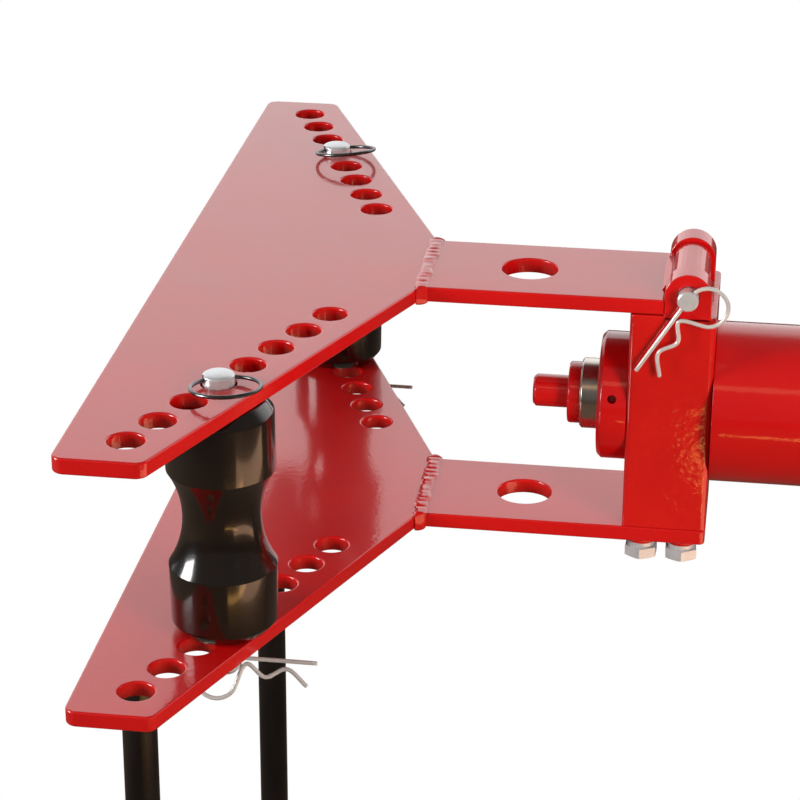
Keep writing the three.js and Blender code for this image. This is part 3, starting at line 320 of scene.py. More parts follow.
def piece(name, shape, material, body, nodes=(), angle=TURNED):
    """A visible piece that rides on a body and stands for the nodes that it replaces."""
    mesh = bpy.data.meshes.new(name)
    bmesh.ops.recalc_face_normals(shape, faces=shape.faces)
    shape.to_mesh(mesh)
    shape.free()
    made = bpy.data.objects.new(name, mesh)
    scene.collection.objects.link(made)
    mesh.materials.append(material)
    smooth(mesh, angle)
    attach(made, body)
    if nodes:
        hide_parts(*nodes)
    return made


def flatten(made):
    """Keeps the shading of flat faces flat next to their rounded edges."""
    normals = made.modifiers.new("normals", "WEIGHTED_NORMAL")
    normals.keep_sharp = True


def evaluated(holder):
    """A new mesh of an object with its modifiers or curve worked out."""
    bpy.context.view_layer.update()
    return bpy.data.meshes.new_from_object(holder.evaluated_get(bpy.context.evaluated_depsgraph_get()))


def arc(x, y, radius, start, end, steps):
    angles = [start + (end - start) * i / steps for i in range(steps + 1)]
    return [(x + radius * math.cos(a), y + radius * math.sin(a)) for a in angles]


def turns(count):
    """Even angles once round."""
    return [2 * math.pi * k / count for k in range(count)]


def rounded(points, steps=8):
    """An outline through corner points (x, y, radius)."""
    outline = []
    for i, (x, y, radius) in enumerate(points):
        corner = Vector((x, y))
        if radius <= 0:
            outline.append((x, y))
            continue
        back = (Vector(points[i - 1][:2]) - corner).normalized()
        on = (Vector(points[(i + 1) % len(points)][:2]) - corner).normalized()
        half = back.angle(on) / 2
        centre = corner + (back + on).normalized() * (radius / math.sin(half))
        start, end = (corner + way * (radius / math.tan(half)) - centre for way in (back, on))
        first = math.atan2(start.y, start.x)
        turn = (math.atan2(end.y, end.x) - first + math.pi) % (2 * math.pi) - math.pi
        outline += arc(centre.x, centre.y, radius, first, first + turn, steps)
    return outline


def filleted(profile, fillet, steps=3):
    """Rounds a profile's corners, each by its own third value or else by one fillet."""
    closed = profile[0][0] > 0
    points = []
    for i, entry in enumerate(profile):
        radius = entry[2] if len(entry) > 2 else fillet
        corner = Vector(entry[:2])
        back = Vector(profile[i - 1][:2]) - corner
        on = Vector(profile[(i + 1) % len(profile)][:2]) - corner
        at_end = not closed and i in (0, len(profile) - 1)
        if at_end or radius <= 0 or back.angle(on, math.pi) > STRAIGHT:
            points.append(corner)
            continue
        cut_back = radius / max(math.tan(back.angle(on) / 2), 0.05)
        cut_back = min(cut_back, back.length * 0.45, on.length * 0.45)
        start, end = corner + back.normalized() * cut_back, corner + on.normalized() * cut_back
        for k in range(steps + 1):
            t = k / steps
            points.append((1 - t) ** 2 * start + 2 * t * (1 - t) * corner + t * t * end)
    return points


def bridge(shape, rows, closed=False):
    """Faces between neighbouring rows of vertices; a row of one is a pole."""
    following = rows[1:] + ([rows[0]] if closed else [])
    for row, other in zip(rows, following):
        count = max(len(row), len(other))
        if count == 1:
            continue
        for k in range(count):
            n = (k + 1) % count
            if len(row) == 1:
                shape.faces.new((row[0], other[k], other[n]))
            elif len(other) == 1:
                shape.faces.new((row[k], row[n], other[0]))
            else:
                shape.faces.new((row[k], row[n], other[n], other[k]))


def close_ends(shape, rows):
    shape.faces.new(rows[0])
    shape.faces.new(list(reversed(rows[-1])))


def lathe(profile, at=(0, 0, 0), axis=(0, 0, 1), segments=96, fillet=0.6):
    """A solid of revolution from (radius, height) points up an axis through a place."""
    turn = Vector(axis).to_track_quat("Z", "Y").to_matrix()
    shape = bmesh.new()
    rows = []
    for radius, height in filleted(profile, fillet):
        row = []
        for a in turns(segments) if radius > POLE else [0.0]:
            place = turn @ Vector((radius * math.cos(a), radius * math.sin(a), height)) + Vector(at)
            row.append(shape.verts.new(P(*place)))
        rows.append(row)
    bridge(shape, rows, closed=profile[0][0] > 0)
    return shape


def sweep(points, radius, sides=18, closed=False):
    """A round wire along points, with softened ends."""
    points = [Vector(p) for p in points]
    count = len(points)
    shape = bmesh.new()
    ahead = []
    for i in range(count):
        before = points[i - 1] if closed or i else points[0]
        after = points[(i + 1) % count] if closed or i < count - 1 else points[-1]
        ahead.append((after - before).normalized())
    normal = ahead[0].orthogonal().normalized()

    def ring(centre, way, size):
        side = way.cross(normal)
        places = [centre + size * (math.cos(a) * normal + math.sin(a) * side) for a in turns(sides)]
        return [shape.verts.new(P(*place)) for place in places]

    rows = []
    for i, (point, way) in enumerate(zip(points, ahead)):
        normal = (normal - way * normal.dot(way)).normalized()
        if i == 0 and not closed:
            rows += [ring(point - way * radius * out, way, radius * size) for out, size in WIRE_END]
        rows.append(ring(point, way, radius))
        if i == count - 1 and not closed:
            rows += [ring(point + way * radius * out, way, radius * size) for out, size in reversed(WIRE_END)]
    bridge(shape, rows, closed=closed)
    if not closed:
        close_ends(shape, rows)
    return shape


def slab(outline, holes, start, end, plane="XY", edge=1.2):
    """A plate with rounded edges; its outline and (x, y, diameter) holes lie in its plane."""
    curve = bpy.data.curves.new("slab", "CURVE")
    curve.dimensions = "2D"
    curve.fill_mode = "BOTH"
    curve.extrude = (end - start) / 2 - edge
    curve.bevel_depth = edge
    curve.bevel_resolution = 3
    curve.offset = -edge
    loops = [outline] + [arc(x, y, size / 2, 0, 2 * math.pi, 56)[:-1] for x, y, size in holes]
    for loop in loops:
        spline = curve.splines.new("POLY")
        spline.points.add(len(loop) - 1)
        for point, (x, y) in zip(spline.points, loop):
            point.co = (x, y, 0, 1)
        spline.use_cyclic_u = True
    holder = bpy.data.objects.new("slab", curve)
    scene.collection.objects.link(holder)
    mesh = evaluated(holder)
    shape = bmesh.new()
    shape.from_mesh(mesh)
    bmesh.ops.remove_doubles(shape, verts=shape.verts, dist=1e-3)
    centre = (start + end) / 2
    for vertex in shape.verts:
        u, v, w = vertex.co
        vertex.co = P(u, v, w + centre) if plane == "XY" else P(u, w + centre, v)
    bpy.data.objects.remove(holder)
    bpy.data.curves.remove(curve)
    bpy.data.meshes.remove(mesh)
    return shape


def cut(made, *tools):
    """Cuts closed shapes out of a piece and keeps the result in its mesh."""
    for tool in tools:
        mesh = bpy.data.meshes.new("tool")
        bmesh.ops.recalc_face_normals(tool, faces=tool.faces)
        tool.to_mesh(mesh)
        tool.free()
        cutter = bpy.data.objects.new("tool", mesh)
        scene.collection.objects.link(cutter)
        step = made.modifiers.new("cut", "BOOLEAN")
        step.operation = "DIFFERENCE"
        step.solver = "EXACT"
        step.object = cutter
        whole = evaluated(made)
        made.modifiers.remove(step)
        old, made.data = made.data, whole
        bpy.data.meshes.remove(old)
        bpy.data.objects.remove(cutter)
        bpy.data.meshes.remove(mesh)
    smooth(made.data, TURNED)


def bar(way, diameter, half, at):
    """A plain bar through a place, to cut with."""
    reach = Vector(way).normalized() * half
    return sweep([Vector(at) - reach, Vector(at), Vector(at) + reach], diameter / 2, sides=28)


def curve_through(points, steps=12):
    """A centripetal curve through points, with even steps in each span."""
    points = [Vector(p) for p in points]
    points = [points[0] * 2 - points[1]] + points + [points[-1] * 2 - points[-2]]
    out = []
    for a, b, c, d in zip(points, points[1:], points[2:], points[3:]):
        before, span, after = (max((q - p).length ** 0.5, 1e-4) for p, q in ((a, b), (b, c), (c, d)))
        leave = ((b - a) / before - (c - a) / (before + span) + (c - b) / span) * span
        arrive = ((c - b) / span - (d - b) / (span + after) + (d - c) / after) * span
        for k in range(steps):
            t = k / steps
            bend = 3 * (c - b) - 2 * leave - arrive
            twist = 2 * (b - c) + leave + arrive
            out.append(b + leave * t + bend * t ** 2 + twist * t ** 3)
    return out + [points[-2]]


# Wing plates and necks
def roller_holes():
    run, rise = DEPTH - WING_TIP, SPAN / 2 - NECK
    slope = math.hypot(run, rise)
    holes = []
    for i in range(HOLE_COUNT):
        reach = HOLE_FROM_TIP + i * HOLE_PITCH
        x = WING_TIP + run / slope * reach - rise / slope * HOLE_TO_SLOPE
        y = SPAN / 2 - rise / slope * reach - run / slope * HOLE_TO_SLOPE
        holes += [(x, y, HOLE), (x, -y, HOLE)]
    return holes


def wing(name, body, start):
    tip = SPAN / 2
    outline = rounded([
        (0, -tip, WING_CORNER), (WING_TIP, -tip, WING_CORNER), (DEPTH, -NECK, 0),
        (DEPTH, NECK, 0), (WING_TIP, tip, WING_CORNER), (0, tip, WING_CORNER)])
    flatten(piece(name + "_plate", slab(outline, roller_holes(), start, start + THICKNESS, edge=WING_EDGE),
                  RED, body, [name], angle=PLATE))


def necks():
    hole = (DEPTH + NECK_HOLE_FROM_WELD, 0, NECK_HOLE)
    start = DEPTH + GAP
    lower = rounded([(start, -NECK, 0), (BLOCK_END, -NECK, BLOCK_CORNER),
                     (BLOCK_END, NECK, BLOCK_CORNER), (start, NECK, 0)])
    flatten(piece("lower_neck_plate", slab(lower, [hole], -OUTER, -INNER), RED, "frame",
                  ["lower_neck"], angle=PLATE))
    ear = HINGE.x - EAR_RADIUS - NECK_CUT_PLAY
    tongue = NECK - EAR_WIDTH - PLAY
    end = HINGE.x - KNUCKLE_RADIUS - NECK_CUT_PLAY
    upper = [(start, -NECK), (ear, -NECK), (ear, -tongue), (end, -tongue),
             (end, tongue), (ear, tongue), (ear, NECK), (start, NECK)]
    flatten(piece("upper_neck_plate", slab(upper, [hole], INNER, OUTER), RED, "top_frame",
                  ["upper_neck"], angle=PLATE))


# Weld beads round the joints of wing and neck
WELD_STEP, WELD_PITCH, WELD_ACROSS, WELD_HOLLOW = 0.7, 6.6, 14, 8
WELD_LAP, WELD_CORNER_STEPS, WELD_CORNER_REACH, WELD_DOME = 1.3, 6, 0.35, 0.7
# How the bead varies along its way: least, how much more, seed
WELD_WIDTH, WELD_SWELL, WELD_RIPPLE = (0.85, 0.3, 3), (0.65, 0.5, 7), (0.02, 0.45, 29)
# How far the bead strays and its ripples shift and bow, with the seeds of the first two
WELD_WANDER, WELD_WANDER_SEED, WELD_SHIFT, WELD_SHIFT_SEED, WELD_BOW = 1.8, 13, 5.5, 41, 2.6


def scatter(i):
    """A fixed number between 0 and 1 that looks random."""
    return (math.sin(i * 12.9898) * 43758.5453) % 1.0


def drift(reach, seed):
    """A number between 0 and 1 that changes smoothly along a bead."""
    lap, share = divmod(reach / WELD_PITCH / WELD_LAP, 1)
    share = share * share * (3 - 2 * share)
    return scatter(int(lap) + seed) * (1 - share) + scatter(int(lap) + seed + 1) * share


def varied(reach, least, more, seed, power=1):
    return least + more * drift(reach, seed) ** power


def weld_stations():
    """Places round the section of the plate, each with the direction that the bead stands out in."""
    half, up = NECK + GAP, THICKNESS / 2 + GAP
    places = [(-half, up), (half, up), (half, -up), (-half, -up)]
    stations = []
    for i, (y, z) in enumerate(places):
        to_y, to_z = places[(i + 1) % 4]
        out = math.pi / 2 * (1 - i)
        count = int(math.hypot(to_y - y, to_z - z) / WELD_STEP) + 1
        stations += [(y + (to_y - y) * k / count, z + (to_z - z) * k / count, out) for k in range(count + 1)]
        for k in range(WELD_CORNER_STEPS):
            stations.append((to_y, to_z, out - math.pi / 2 * (k + 0.5) / WELD_CORNER_STEPS))
    return stations


def weld(name, body, centre, node, half_width, height):
    """A laid bead with uneven ripples, which fills the corners between wing and neck in a hollow curve."""
    slope = math.atan2(SPAN / 2 - NECK, DEPTH - WING_TIP)
    shape = bmesh.new()
    rows = []
    laid = 0.0
    before = None
    for y, z, out in weld_stations():
        if before:
            laid += (math.hypot(y - before[0], z - before[1])
                     + WELD_CORNER_REACH * abs(out - before[2]) * height)
        before = (y, z, out)
        aside = abs(math.cos(out))
        width = half_width * varied(laid, *WELD_WIDTH)
        swell = height * varied(laid, *WELD_SWELL) * (1 + 0.5 * aside)
        wander = WELD_WANDER * (drift(laid, WELD_WANDER_SEED) - 0.5)
        depth = varied(laid, *WELD_RIPPLE, power=2) * (1 - aside)
        row = []
        for k in range(WELD_ACROSS + 1):
            share = -1 + 2 * k / WELD_ACROSS
            dome = (1 - share * share) ** WELD_DOME
            phase = (laid + WELD_BOW * dome + WELD_SHIFT * drift(laid, WELD_SHIFT_SEED)) / WELD_PITCH
            rise = swell * dome * (1 - depth * (0.5 + 0.5 * math.cos(2 * math.pi * phase)) ** 2)
            turn = -math.pi / 2 - slope * (1 - share) / 2
            filled_x = WELD_HOLLOW * (math.tan(slope / 2) + math.cos(turn))
            filled = WELD_HOLLOW * (1 + math.sin(turn)) * aside
            x = DEPTH + (1 - aside) * (wander + width * share) + aside * filled_x
            place = P(x, y + (rise + filled) * math.cos(out), centre + z + rise * math.sin(out))
            row.append(shape.verts.new(place))
        rows.append(row)
    bridge(shape, rows, closed=True)
    piece(name, shape, WELD, body, [node], angle=WIRE)


# Rollers, their pins, pull rings and spring clips
def roller(side, x, y):
    half, rim = INNER - PLAY, ROLLER / 2
    depth, half_groove = (ROLLER - ROLLER_WAIST) / 2, ROLLER_GROOVE / 2
    groove_radius = (half_groove ** 2 + depth ** 2) / (2 * depth)
    half_angle = math.asin(half_groove / groove_radius)
    angles = [half_angle * (i / 14 - 1) for i in range(1, 28)]
    groove = [(ROLLER_WAIST / 2 + groove_radius * (1 - math.cos(a)), groove_radius * math.sin(a), 0)
              for a in angles]
    end = [(ROLLER_BORE / 2, half, 0.8), (rim - 6.5, half, 2.2), (rim - 0.6, half - 7, 3),
           (rim, half_groove, 1.4)]
    profile = [(r, -h, fillet) for r, h, fillet in end] + groove + end[::-1]
    piece(side + "_roller_turned", lathe(profile, (x, y, 0), segments=128), ROLLER_BLACK,
          side + "_roller", [side + "_roller"], 25)


def roller_pin(side, x, y, ring_way):
    top, bottom, radius = pin_high.z, pin_low.z, PIN / 2
    dome = [(radius, top - PIN_DOME, 1), (0.86 * radius, top - 0.55 * PIN_DOME, 1.5),
            (0.55 * radius, top - 0.18 * PIN_DOME, 2)]
    point = [(0, bottom), (radius - PIN_POINT, bottom, 1), (radius, bottom + PIN_POINT, 1)]
    made = piece(side + "_drop_pin", lathe(point + dome + [(0, top)], (x, y, 0), segments=72), ZINC,
                 side + "_pin", [side + "_roller_pin"])
    cut(made, bar(ring_way, RING_HOLE, PIN, (x, y, OUTER + RING_HOLE_ABOVE)),
        bar((1, 0, 0), CLIP_HOLE, PIN, (x, y, -OUTER - CLIP_HOLE_BELOW)))


def pull_ring(side, x, y, turn, tilt, steps=112):
    radius = RING / 2
    sag = (PIN / 2) ** 2 / (4 * radius)
    points = []
    for k in range(steps):
        angle = 2 * math.pi * (k + 0.5) / steps
        across, out = radius * math.cos(angle), radius * math.sin(angle) - radius + sag
        out, drop = out * math.cos(tilt), out * math.sin(tilt)
        points.append((x + across * math.cos(turn) - out * math.sin(turn),
                       y + across * math.sin(turn) + out * math.cos(turn), OUTER + RING_HOLE_ABOVE - drop))
    piece(side + "_ring_wire", sweep(points, RING_WIRE / 2, closed=True), RING_STEEL, side + "_ring",
          [side + "_pull_ring"], WIRE)


def spring_clip(name, body, node, origin, along, across, setback, loop_steps=9):
    """One wire: a straight leg through the pin, a round loop and a waved leg that grips."""
    points = [(CLIP_LEG, 0), (CLIP_MOUTH, 0), (CLIP_LOOP / 2, 0)]
    for i in range(loop_steps + 1):
        angle = CLIP_LOOP_TURN * i / loop_steps
        points.append((-CLIP_LOOP * math.sin(angle), CLIP_LOOP * (1 - math.cos(angle))))
    points += CLIP_WAVES
    route = [Vector(origin) + Vector(along) * (x - setback) + Vector(across) * y for x, y in points]
    piece(name, sweep(curve_through(route), CLIP_WIRE / 2), CLIP_STEEL, body, [node], WIRE)


def roller_station(side, turn, tilt):
    place = middle(side + "_roller_pin")
    x, y = place.x, place.y
    roller(side, x, y)
    roller_pin(side, x, y, (math.cos(turn), math.sin(turn), 0))
    pull_ring(side, x, y, turn, tilt)
    across = (0, -math.cos(CLIP_DROOP), -math.sin(CLIP_DROOP))
    spring_clip(side + "_clip_wire", side + "_pin", side + "_roller_clip",
                (x, y, -OUTER - CLIP_HOLE_BELOW), (1, 0, 0), across, CLIP_SETBACK)


# Head block, hinge and bolts
def head_block():
    top = INNER - BLOCK_TOP_GAP
    outline = rounded([(BLOCK, -NECK, BLOCK_CORNER), (BLOCK_END, -NECK, BLOCK_CORNER),
                       (BLOCK_END, NECK, BLOCK_CORNER), (BLOCK, NECK, BLOCK_CORNER)])
    block = piece("block_milled", slab(outline, [], -INNER + GAP, top, edge=BLOCK_EDGE), CAST_RED, "frame",
                  ["head_block"], angle=PLATE)
    cut(block, bar((1, 0, 0), MAIN_BORE, BLOCK_END - BLOCK, ((BLOCK + BLOCK_END) / 2, 0, 0)))
    flatten(block)
    ear = [(HINGE.x + EAR_RADIUS, top - EAR_FOOT)] + arc(HINGE.x, HINGE.z, EAR_RADIUS, 0, math.pi, 28)
    ear.append((HINGE.x - EAR_RADIUS, top - EAR_FOOT))
    for side, start in (("near", -NECK), ("far", NECK - EAR_WIDTH)):
        shape = slab(ear, [(HINGE.x, HINGE.z, HINGE_PIN_BORE)], start, start + EAR_WIDTH, "XZ", EAR_EDGE)
        flatten(piece(side + "_hinge_ear", shape, RED, "frame", angle=PLATE))


def hinge_pin():
    near, seat = -NECK - HINGE_PIN_PAST_EAR, NECK + GAP
    far = seat + HINGE_PIN_HEAD_HEIGHT
    radius, head = HINGE_PIN / 2, HINGE_PIN_HEAD / 2
    profile = [(0, near), (radius - 1, near, 0.2), (radius, near + 1, 0.2), (radius, seat, 0),
               (head, seat, 0.6), (head, far - 1, 0.6), (head - 1, far, 0.4), (0, far)]
    made = piece("hinge_pin_turned", lathe(profile, (HINGE.x, 0, HINGE.z), (0, 1, 0), 64, 0.3), ZINC,
                 "hinge_pin", ["hinge_pin"])
    clip_at = (HINGE.x, -NECK - HINGE_CLIP_FROM_EAR, HINGE.z)
    along = (-math.cos(HINGE_CLIP_SLOPE), 0, -math.sin(HINGE_CLIP_SLOPE))
    across = (math.sin(HINGE_CLIP_SLOPE), 0, -math.cos(HINGE_CLIP_SLOPE))
    cut(made, bar(along, CLIP_HOLE, HINGE_PIN, clip_at))
    spring_clip("hinge_clip_wire", "hinge_pin", "hinge_clip", clip_at, along, across, HINGE_CLIP_SETBACK)


def bolt_head(x, y, turn, segments=72):
    """A hexagon head with its corners chamfered, and the shank above it."""
    low, seat = bolt_low.z, lock_low.z - GAP
    flat = BOLT_FLATS / 2
    shape = bmesh.new()
    rows = []
    chamfer = 2
    levels = [(low, flat - 1.6, False), (low, flat - 1.2, False), (low + 0.4, flat, True),
              (seat - 0.3, flat, True), (seat, flat - 0.4, True), (seat, BOLT / 2, False),
              (bolt_high.z, BOLT / 2, False)]
    for i, (z, size, is_hexagon) in enumerate(levels):
        row = []
        for angle in turns(segments):
            radius = size
            if is_hexagon:
                radius = size / math.cos((angle + math.pi / 6) % (math.pi / 3) - math.pi / 6)
            lift = (radius - flat) * 0.25 if i == chamfer else 0
            row.append(shape.verts.new(P(x + radius * math.cos(angle + turn),
                                         y + radius * math.sin(angle + turn), z + lift)))
        rows.append(row)
    bridge(shape, rows)
    close_ends(shape, rows)
    return shape


def washer(x, y, outer, low, high, fillet):
    inner = BOLT / 2 + PLAY
    profile = [(inner, low, 0.2), (outer, low, fillet), (outer, high, fillet), (inner, high, 0.2)]
    return lathe(profile, (x, y, 0), segments=64)


def bolts():
    for i, turn in enumerate(BOLT_TURNS):
        number = str(i + 1)
        place = middle("bolt_washer_" + number)
        x, y = place.x, place.y
        piece("hex_bolt_" + number, bolt_head(x, y, math.radians(turn)), ZINC, "frame",
              ["block_bolt_" + number], 22)
        piece("flat_washer_" + number, washer(x, y, BOLT_WASHER / 2, washer_low.z, washer_high.z, 0.6), RED,
              "frame", ["bolt_washer_" + number])
        outer = LOCK_WASHER / 2
        made = piece("lock_washer_" + number, washer(x, y, outer, lock_low.z, lock_high.z, 0.4), ZINC,
                     "frame", ["bolt_lock_washer_" + number])
        slot_at = (lock_low.z + lock_high.z) / 2
        cut(made, bar((1, 0.2, 0.6), LOCK_SPLIT, 8, (x + outer - 1, y, slot_at)))


# Gland nut, ram and nose
def gland():
    inner, rim, bore = ROD / 2 + PLAY, gland_high.y, MAIN_BORE / 2 - GAP
    recess = GLAND + WIPER_DEPTH
    profile = [(inner, recess, 0.3), (WIPER / 2, recess, 0.2), (WIPER / 2, GLAND, 0.8),
               (rim - GLAND_EDGE, GLAND, 1.6), (rim, GLAND + GLAND_EDGE, 1.6), (rim, BLOCK - GAP, 0.8),
               (bore, BLOCK - GAP, 0), (bore, gland_high.x, 0.5), (inner, gland_high.x, 0.5)]
    nut = piece("gland_nut_turned", lathe(profile, axis=(1, 0, 0), segments=128), RED, "frame", ["gland_nut"])
    holes = []
    for i in range(4):
        angle = math.pi / 2 * i + math.pi / 2 - SPANNER_TURN
        way = Vector((0, -math.sin(angle), math.cos(angle)))
        centre = way * rim + Vector(((GLAND + BLOCK) / 2, 0, 0))
        holes.append(bar(way, SPANNER_HOLE, SPANNER_HOLE_DEPTH, centre))
    cut(nut, *holes)
    seal = [(inner, GLAND + GAP, 0.6), (WIPER / 2 - GAP, GLAND + GAP, 0.4),
            (WIPER / 2 - GAP, recess - GAP, 0.2), (inner, recess - GAP, 0.6)]
    piece("wiper_ring", lathe(seal, axis=(1, 0, 0)), SEAL, "frame", ["wiper_seal"])


def ram():
    piston_end = corners("piston")[0].x + PISTON_LENGTH
    rod, shank, spigot = ROD / 2, NOSE_SHANK / 2 + GAP, PISTON_SPIGOT_RADIUS
    spigot_end = piston_end - PISTON_LENGTH - GAP
    profile = [(0, nose_high.x + GAP), (shank, nose_high.x + GAP, 0), (shank, RAM_FRONT + GAP, 0),
               (rod - ROD_EDGE, RAM_FRONT + GAP, 0.3), (rod, RAM_FRONT + ROD_EDGE, 0.3),
               (rod, piston_end - GAP, 0), (spigot, piston_end - GAP, 0), (spigot, spigot_end, 0),
               (0, spigot_end)]
    piece("ram_rod_ground", lathe(profile, axis=(1, 0, 0), segments=128, fillet=0.2), ROD_STEEL,
          "ram", ["ram_rod"])
    shoulder = RAM_FRONT - COLLAR_LENGTH
    tip = shoulder - STUB_LENGTH
    stub, collar = STUB / 2, COLLAR / 2
    nose = [(0, tip), (stub - NOSE_EDGE, tip, 1), (stub, tip + NOSE_EDGE, 1), (stub, shoulder, 0.7),
            (collar - COLLAR_EDGE, shoulder, 0.8), (collar, shoulder + COLLAR_EDGE, 0.5),
            (collar, RAM_FRONT, 0.5), (NOSE_SHANK / 2, RAM_FRONT, 0), (NOSE_SHANK / 2, nose_high.x, 0.5),
            (0, nose_high.x)]
    piece("ram_nose_turned", lathe(nose, axis=(1, 0, 0), fillet=0.4), RED, "ram", ["ram_nose"])


def return_spring():
    """The coil round the rod, drawn at one length; the real coil closes up as the ram goes out."""
    low, high = corners("return_spring")
    wire = SPRING_WIRE / 2
    coil, start, length = high.y - wire, low.x + wire, high.x - low.x - 2 * wire
    count = SPRING_TURNS * SPRING_STEPS
    points = []
    for i in range(count + 1):
        angle = 2 * math.pi * i / SPRING_STEPS
        points.append((start + length * i / count, coil * math.cos(angle), coil * math.sin(angle)))
    made = piece("return_spring_wire", sweep(points, wire, 12), DARK_STEEL, "frame", ["return_spring"],
                 WIRE)
    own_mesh(made)


# Tank and pump
def tank():
    rim, bore = TANK / 2, MAIN_BORE / 2
    start = tank_low.x - TANK_DISC
    end = start + TANK_DISC
    disc = [(bore, start, 0), (rim - 0.4, start, 0.2), (rim, start + 0.4, 0.2), (rim, end - DISC_SEAM, 0),
            (bore, end - DISC_SEAM, 0)]
    piece("tank_disc", lathe(disc, axis=(1, 0, 0), segments=128), RED, "frame", ["tank_front_disc"])
    shell = [(rim - TANK_WALL, end, 0), (rim, end, 0), (rim, tank_high.x), (rim - TANK_WALL, tank_high.x, 0)]
    piece("tank_shell", lathe(shell, axis=(1, 0, 0), segments=144), RED, "frame", ["tank_tube"])
    filler, hole, boss = middle("filler_plug"), FILLER_THREAD / 2, FILLER_BOSS / 2
    profile = [(hole, rim - 4, 0), (boss + 2.5, rim - 3.5, 0), (boss + 0.4, rim + 0.6, 2), (boss, rim + 2, 1),
               (boss, tank_high.z, 0.8), (hole, tank_high.z, 0.5)]
    piece("filler_boss", lathe(profile, (filler.x, 0, 0), segments=72), RED, "frame")


def pump():
    """Turned pieces that round off the pump casting's flange and bosses."""
    start, rim = tank_high.x + GAP, TANK / 2
    inner, end = rim - 8, start + FLANGE
    flange = [(inner, start, 0), (rim - 1.6, start, 1), (rim, start + FLANGE_EDGE, 1),
              (rim, end - FLANGE_EDGE, 1), (rim - FLANGE_EDGE, end + 0.05, 1), (inner, end + 0.05, 0)]
    piece("pump_flange_rim", lathe(flange, axis=(1, 0, 0), segments=144), RED, "frame")
    plunger = middle("pump_plunger")
    seat = corners("plunger_gland")[0].z + GLAND_HEAD + GAP
    foot = seat - PLUNGER_BOSS_FOOT
    boss, room = PLUNGER_BOSS / 2, PLUNGER_BOSS_BORE / 2
    top = [(room, foot, 0), (boss + 3, foot - 0.2, 0), (boss + SKIN, foot + 3, 3), (boss + SKIN, seat, 1),
           (room, seat + 0.05, 0.4)]
    piece("plunger_boss", lathe(top, (plunger.x, 0, 0), segments=72), RED, "frame")
    stem = middle("release_stem")
    valve, room, face = VALVE_BOSS / 2, VALVE_BOSS_BORE / 2, VALVE_BOSS_FACE
    side = [(room, face, 0.4), (valve + SKIN, face, 1), (valve + SKIN, face + 6, 2.5),
            (valve + 2.6, face + 8.2, 0), (room, face + 8.4, 0)]
    piece("valve_boss", lathe(side, (stem.x, 0, stem.z), (0, 1, 0), 72), RED, "frame")


def handle():
    """The lever's tube and its ribbed grip, along the lever's rise."""
    way = Vector((math.cos(HANDLE_RISE), 0, math.sin(HANDLE_RISE)))
    low, high = corners("handle_tube")
    foot = HANDLE / 2 * math.sin(HANDLE_RISE)
    start = Vector((low.x + foot, 0, low.z + HANDLE / 2 * math.cos(HANDLE_RISE)))
    length = (high.x - low.x - 2 * foot) / math.cos(HANDLE_RISE)
    outer, wall = HANDLE / 2, HANDLE_WALL
    tube = [(outer - wall, 0, 0), (outer, 0), (outer, length), (outer - wall, length, 0)]
    piece("handle_bar", lathe(tube, start, way, 72), LEG_BLACK, "lever", ["handle_tube"])
    grip_start, inner, rim = length - GRIP_LENGTH, outer + GAP, GRIP / 2
    valley, pitch, end = rim - GRIP_RIB_HEIGHT, GRIP_LENGTH / (GRIP_RIBS + 1), length + GRIP_END
    sleeve = [(inner, grip_start, 0), (valley, grip_start, 0.8)]
    for i in range(GRIP_RIBS):
        at = grip_start + pitch * (i + 0.6)
        sleeve += [(valley, at, 0.6), (rim, at + 0.2 * pitch, 1), (rim, at + 0.5 * pitch, 1),
                   (valley, at + 0.7 * pitch, 0.6)]
    sleeve += [(rim, length - 1, 1), (rim, length, 1), (rim - 2, end, 2), (0.01, end, 0),
               (0.01, length + GAP, 0), (inner, length + GAP, 0)]
    piece("grip_sleeve", lathe(sleeve, start, way, 72), RUBBER, "lever", ["handle_grip"])


# Legs and feet
def leg(name):
    place = middle(name + "_leg")
    x, y = place.x, place.y
    bottom, spigot_top = (corner.z for corner in corners(name + "_leg"))
    top = spigot_top - LEG_SPIGOT_HEIGHT
    tube, spigot = LEG / 2, LEG_SPIGOT / 2
    profile = [(0, bottom), (tube, bottom, 1), (tube, top - GAP, 0.5), (spigot, top - GAP, 0),
               (spigot, spigot_top, 0.5), (0, spigot_top)]
    piece(name + "_leg_tube", lathe(profile, (x, y, 0), segments=72, fillet=0.5), LEG_BLACK, "frame",
          [name + "_leg"])
    floor = bottom - FOOT_BASE
    rim = floor + FOOT_HEIGHT
    wide, narrow, inner = FOOT / 2, FOOT_TOP / 2, tube + GAP
    boot = [(0, floor), (wide - 2, floor, 1), (wide, floor + 2, 1.2), (wide, floor + FOOT_BASE, 1.5),
            (wide - 1.6, floor + 9, 2), (narrow + 0.4, floor + 22, 1), (narrow, rim, 1),
            (inner, rim, 0.6), (inner, bottom - GAP, 0), (0, bottom - GAP)]
    piece(name + "_foot_boot", lathe(boot, (x, y, 0), segments=64, fillet=0.8), RUBBER, "frame",
          [name + "_foot"])


# CAD solids that stay: node, material and width of the softened edges, or 0 to leave them sharp
DRESSED = (
    ("upper_knuckle", RED, 0.6), ("pump_body", CAST_RED, 1.2), ("lever_socket", CAST_RED, 0.8),
    ("filler_plug", ZINC, 0.5), ("plunger_gland", ZINC, 0.5), ("pump_plunger", ROD_STEEL, 0.3),
    ("plunger_pin", ZINC, 0.3), ("fulcrum_pin", ZINC, 0.3), ("release_stem", ZINC, 0),
    ("release_knob", KNOB_BLACK, 0.8), ("piston", DARK_STEEL, 0.4), ("piston_seal", SEAL, 0.4),
    ("pressure_tube", DARK_STEEL, 0))
FLAT = math.radians(1.5)  # faces within this angle are merged before their edges are softened


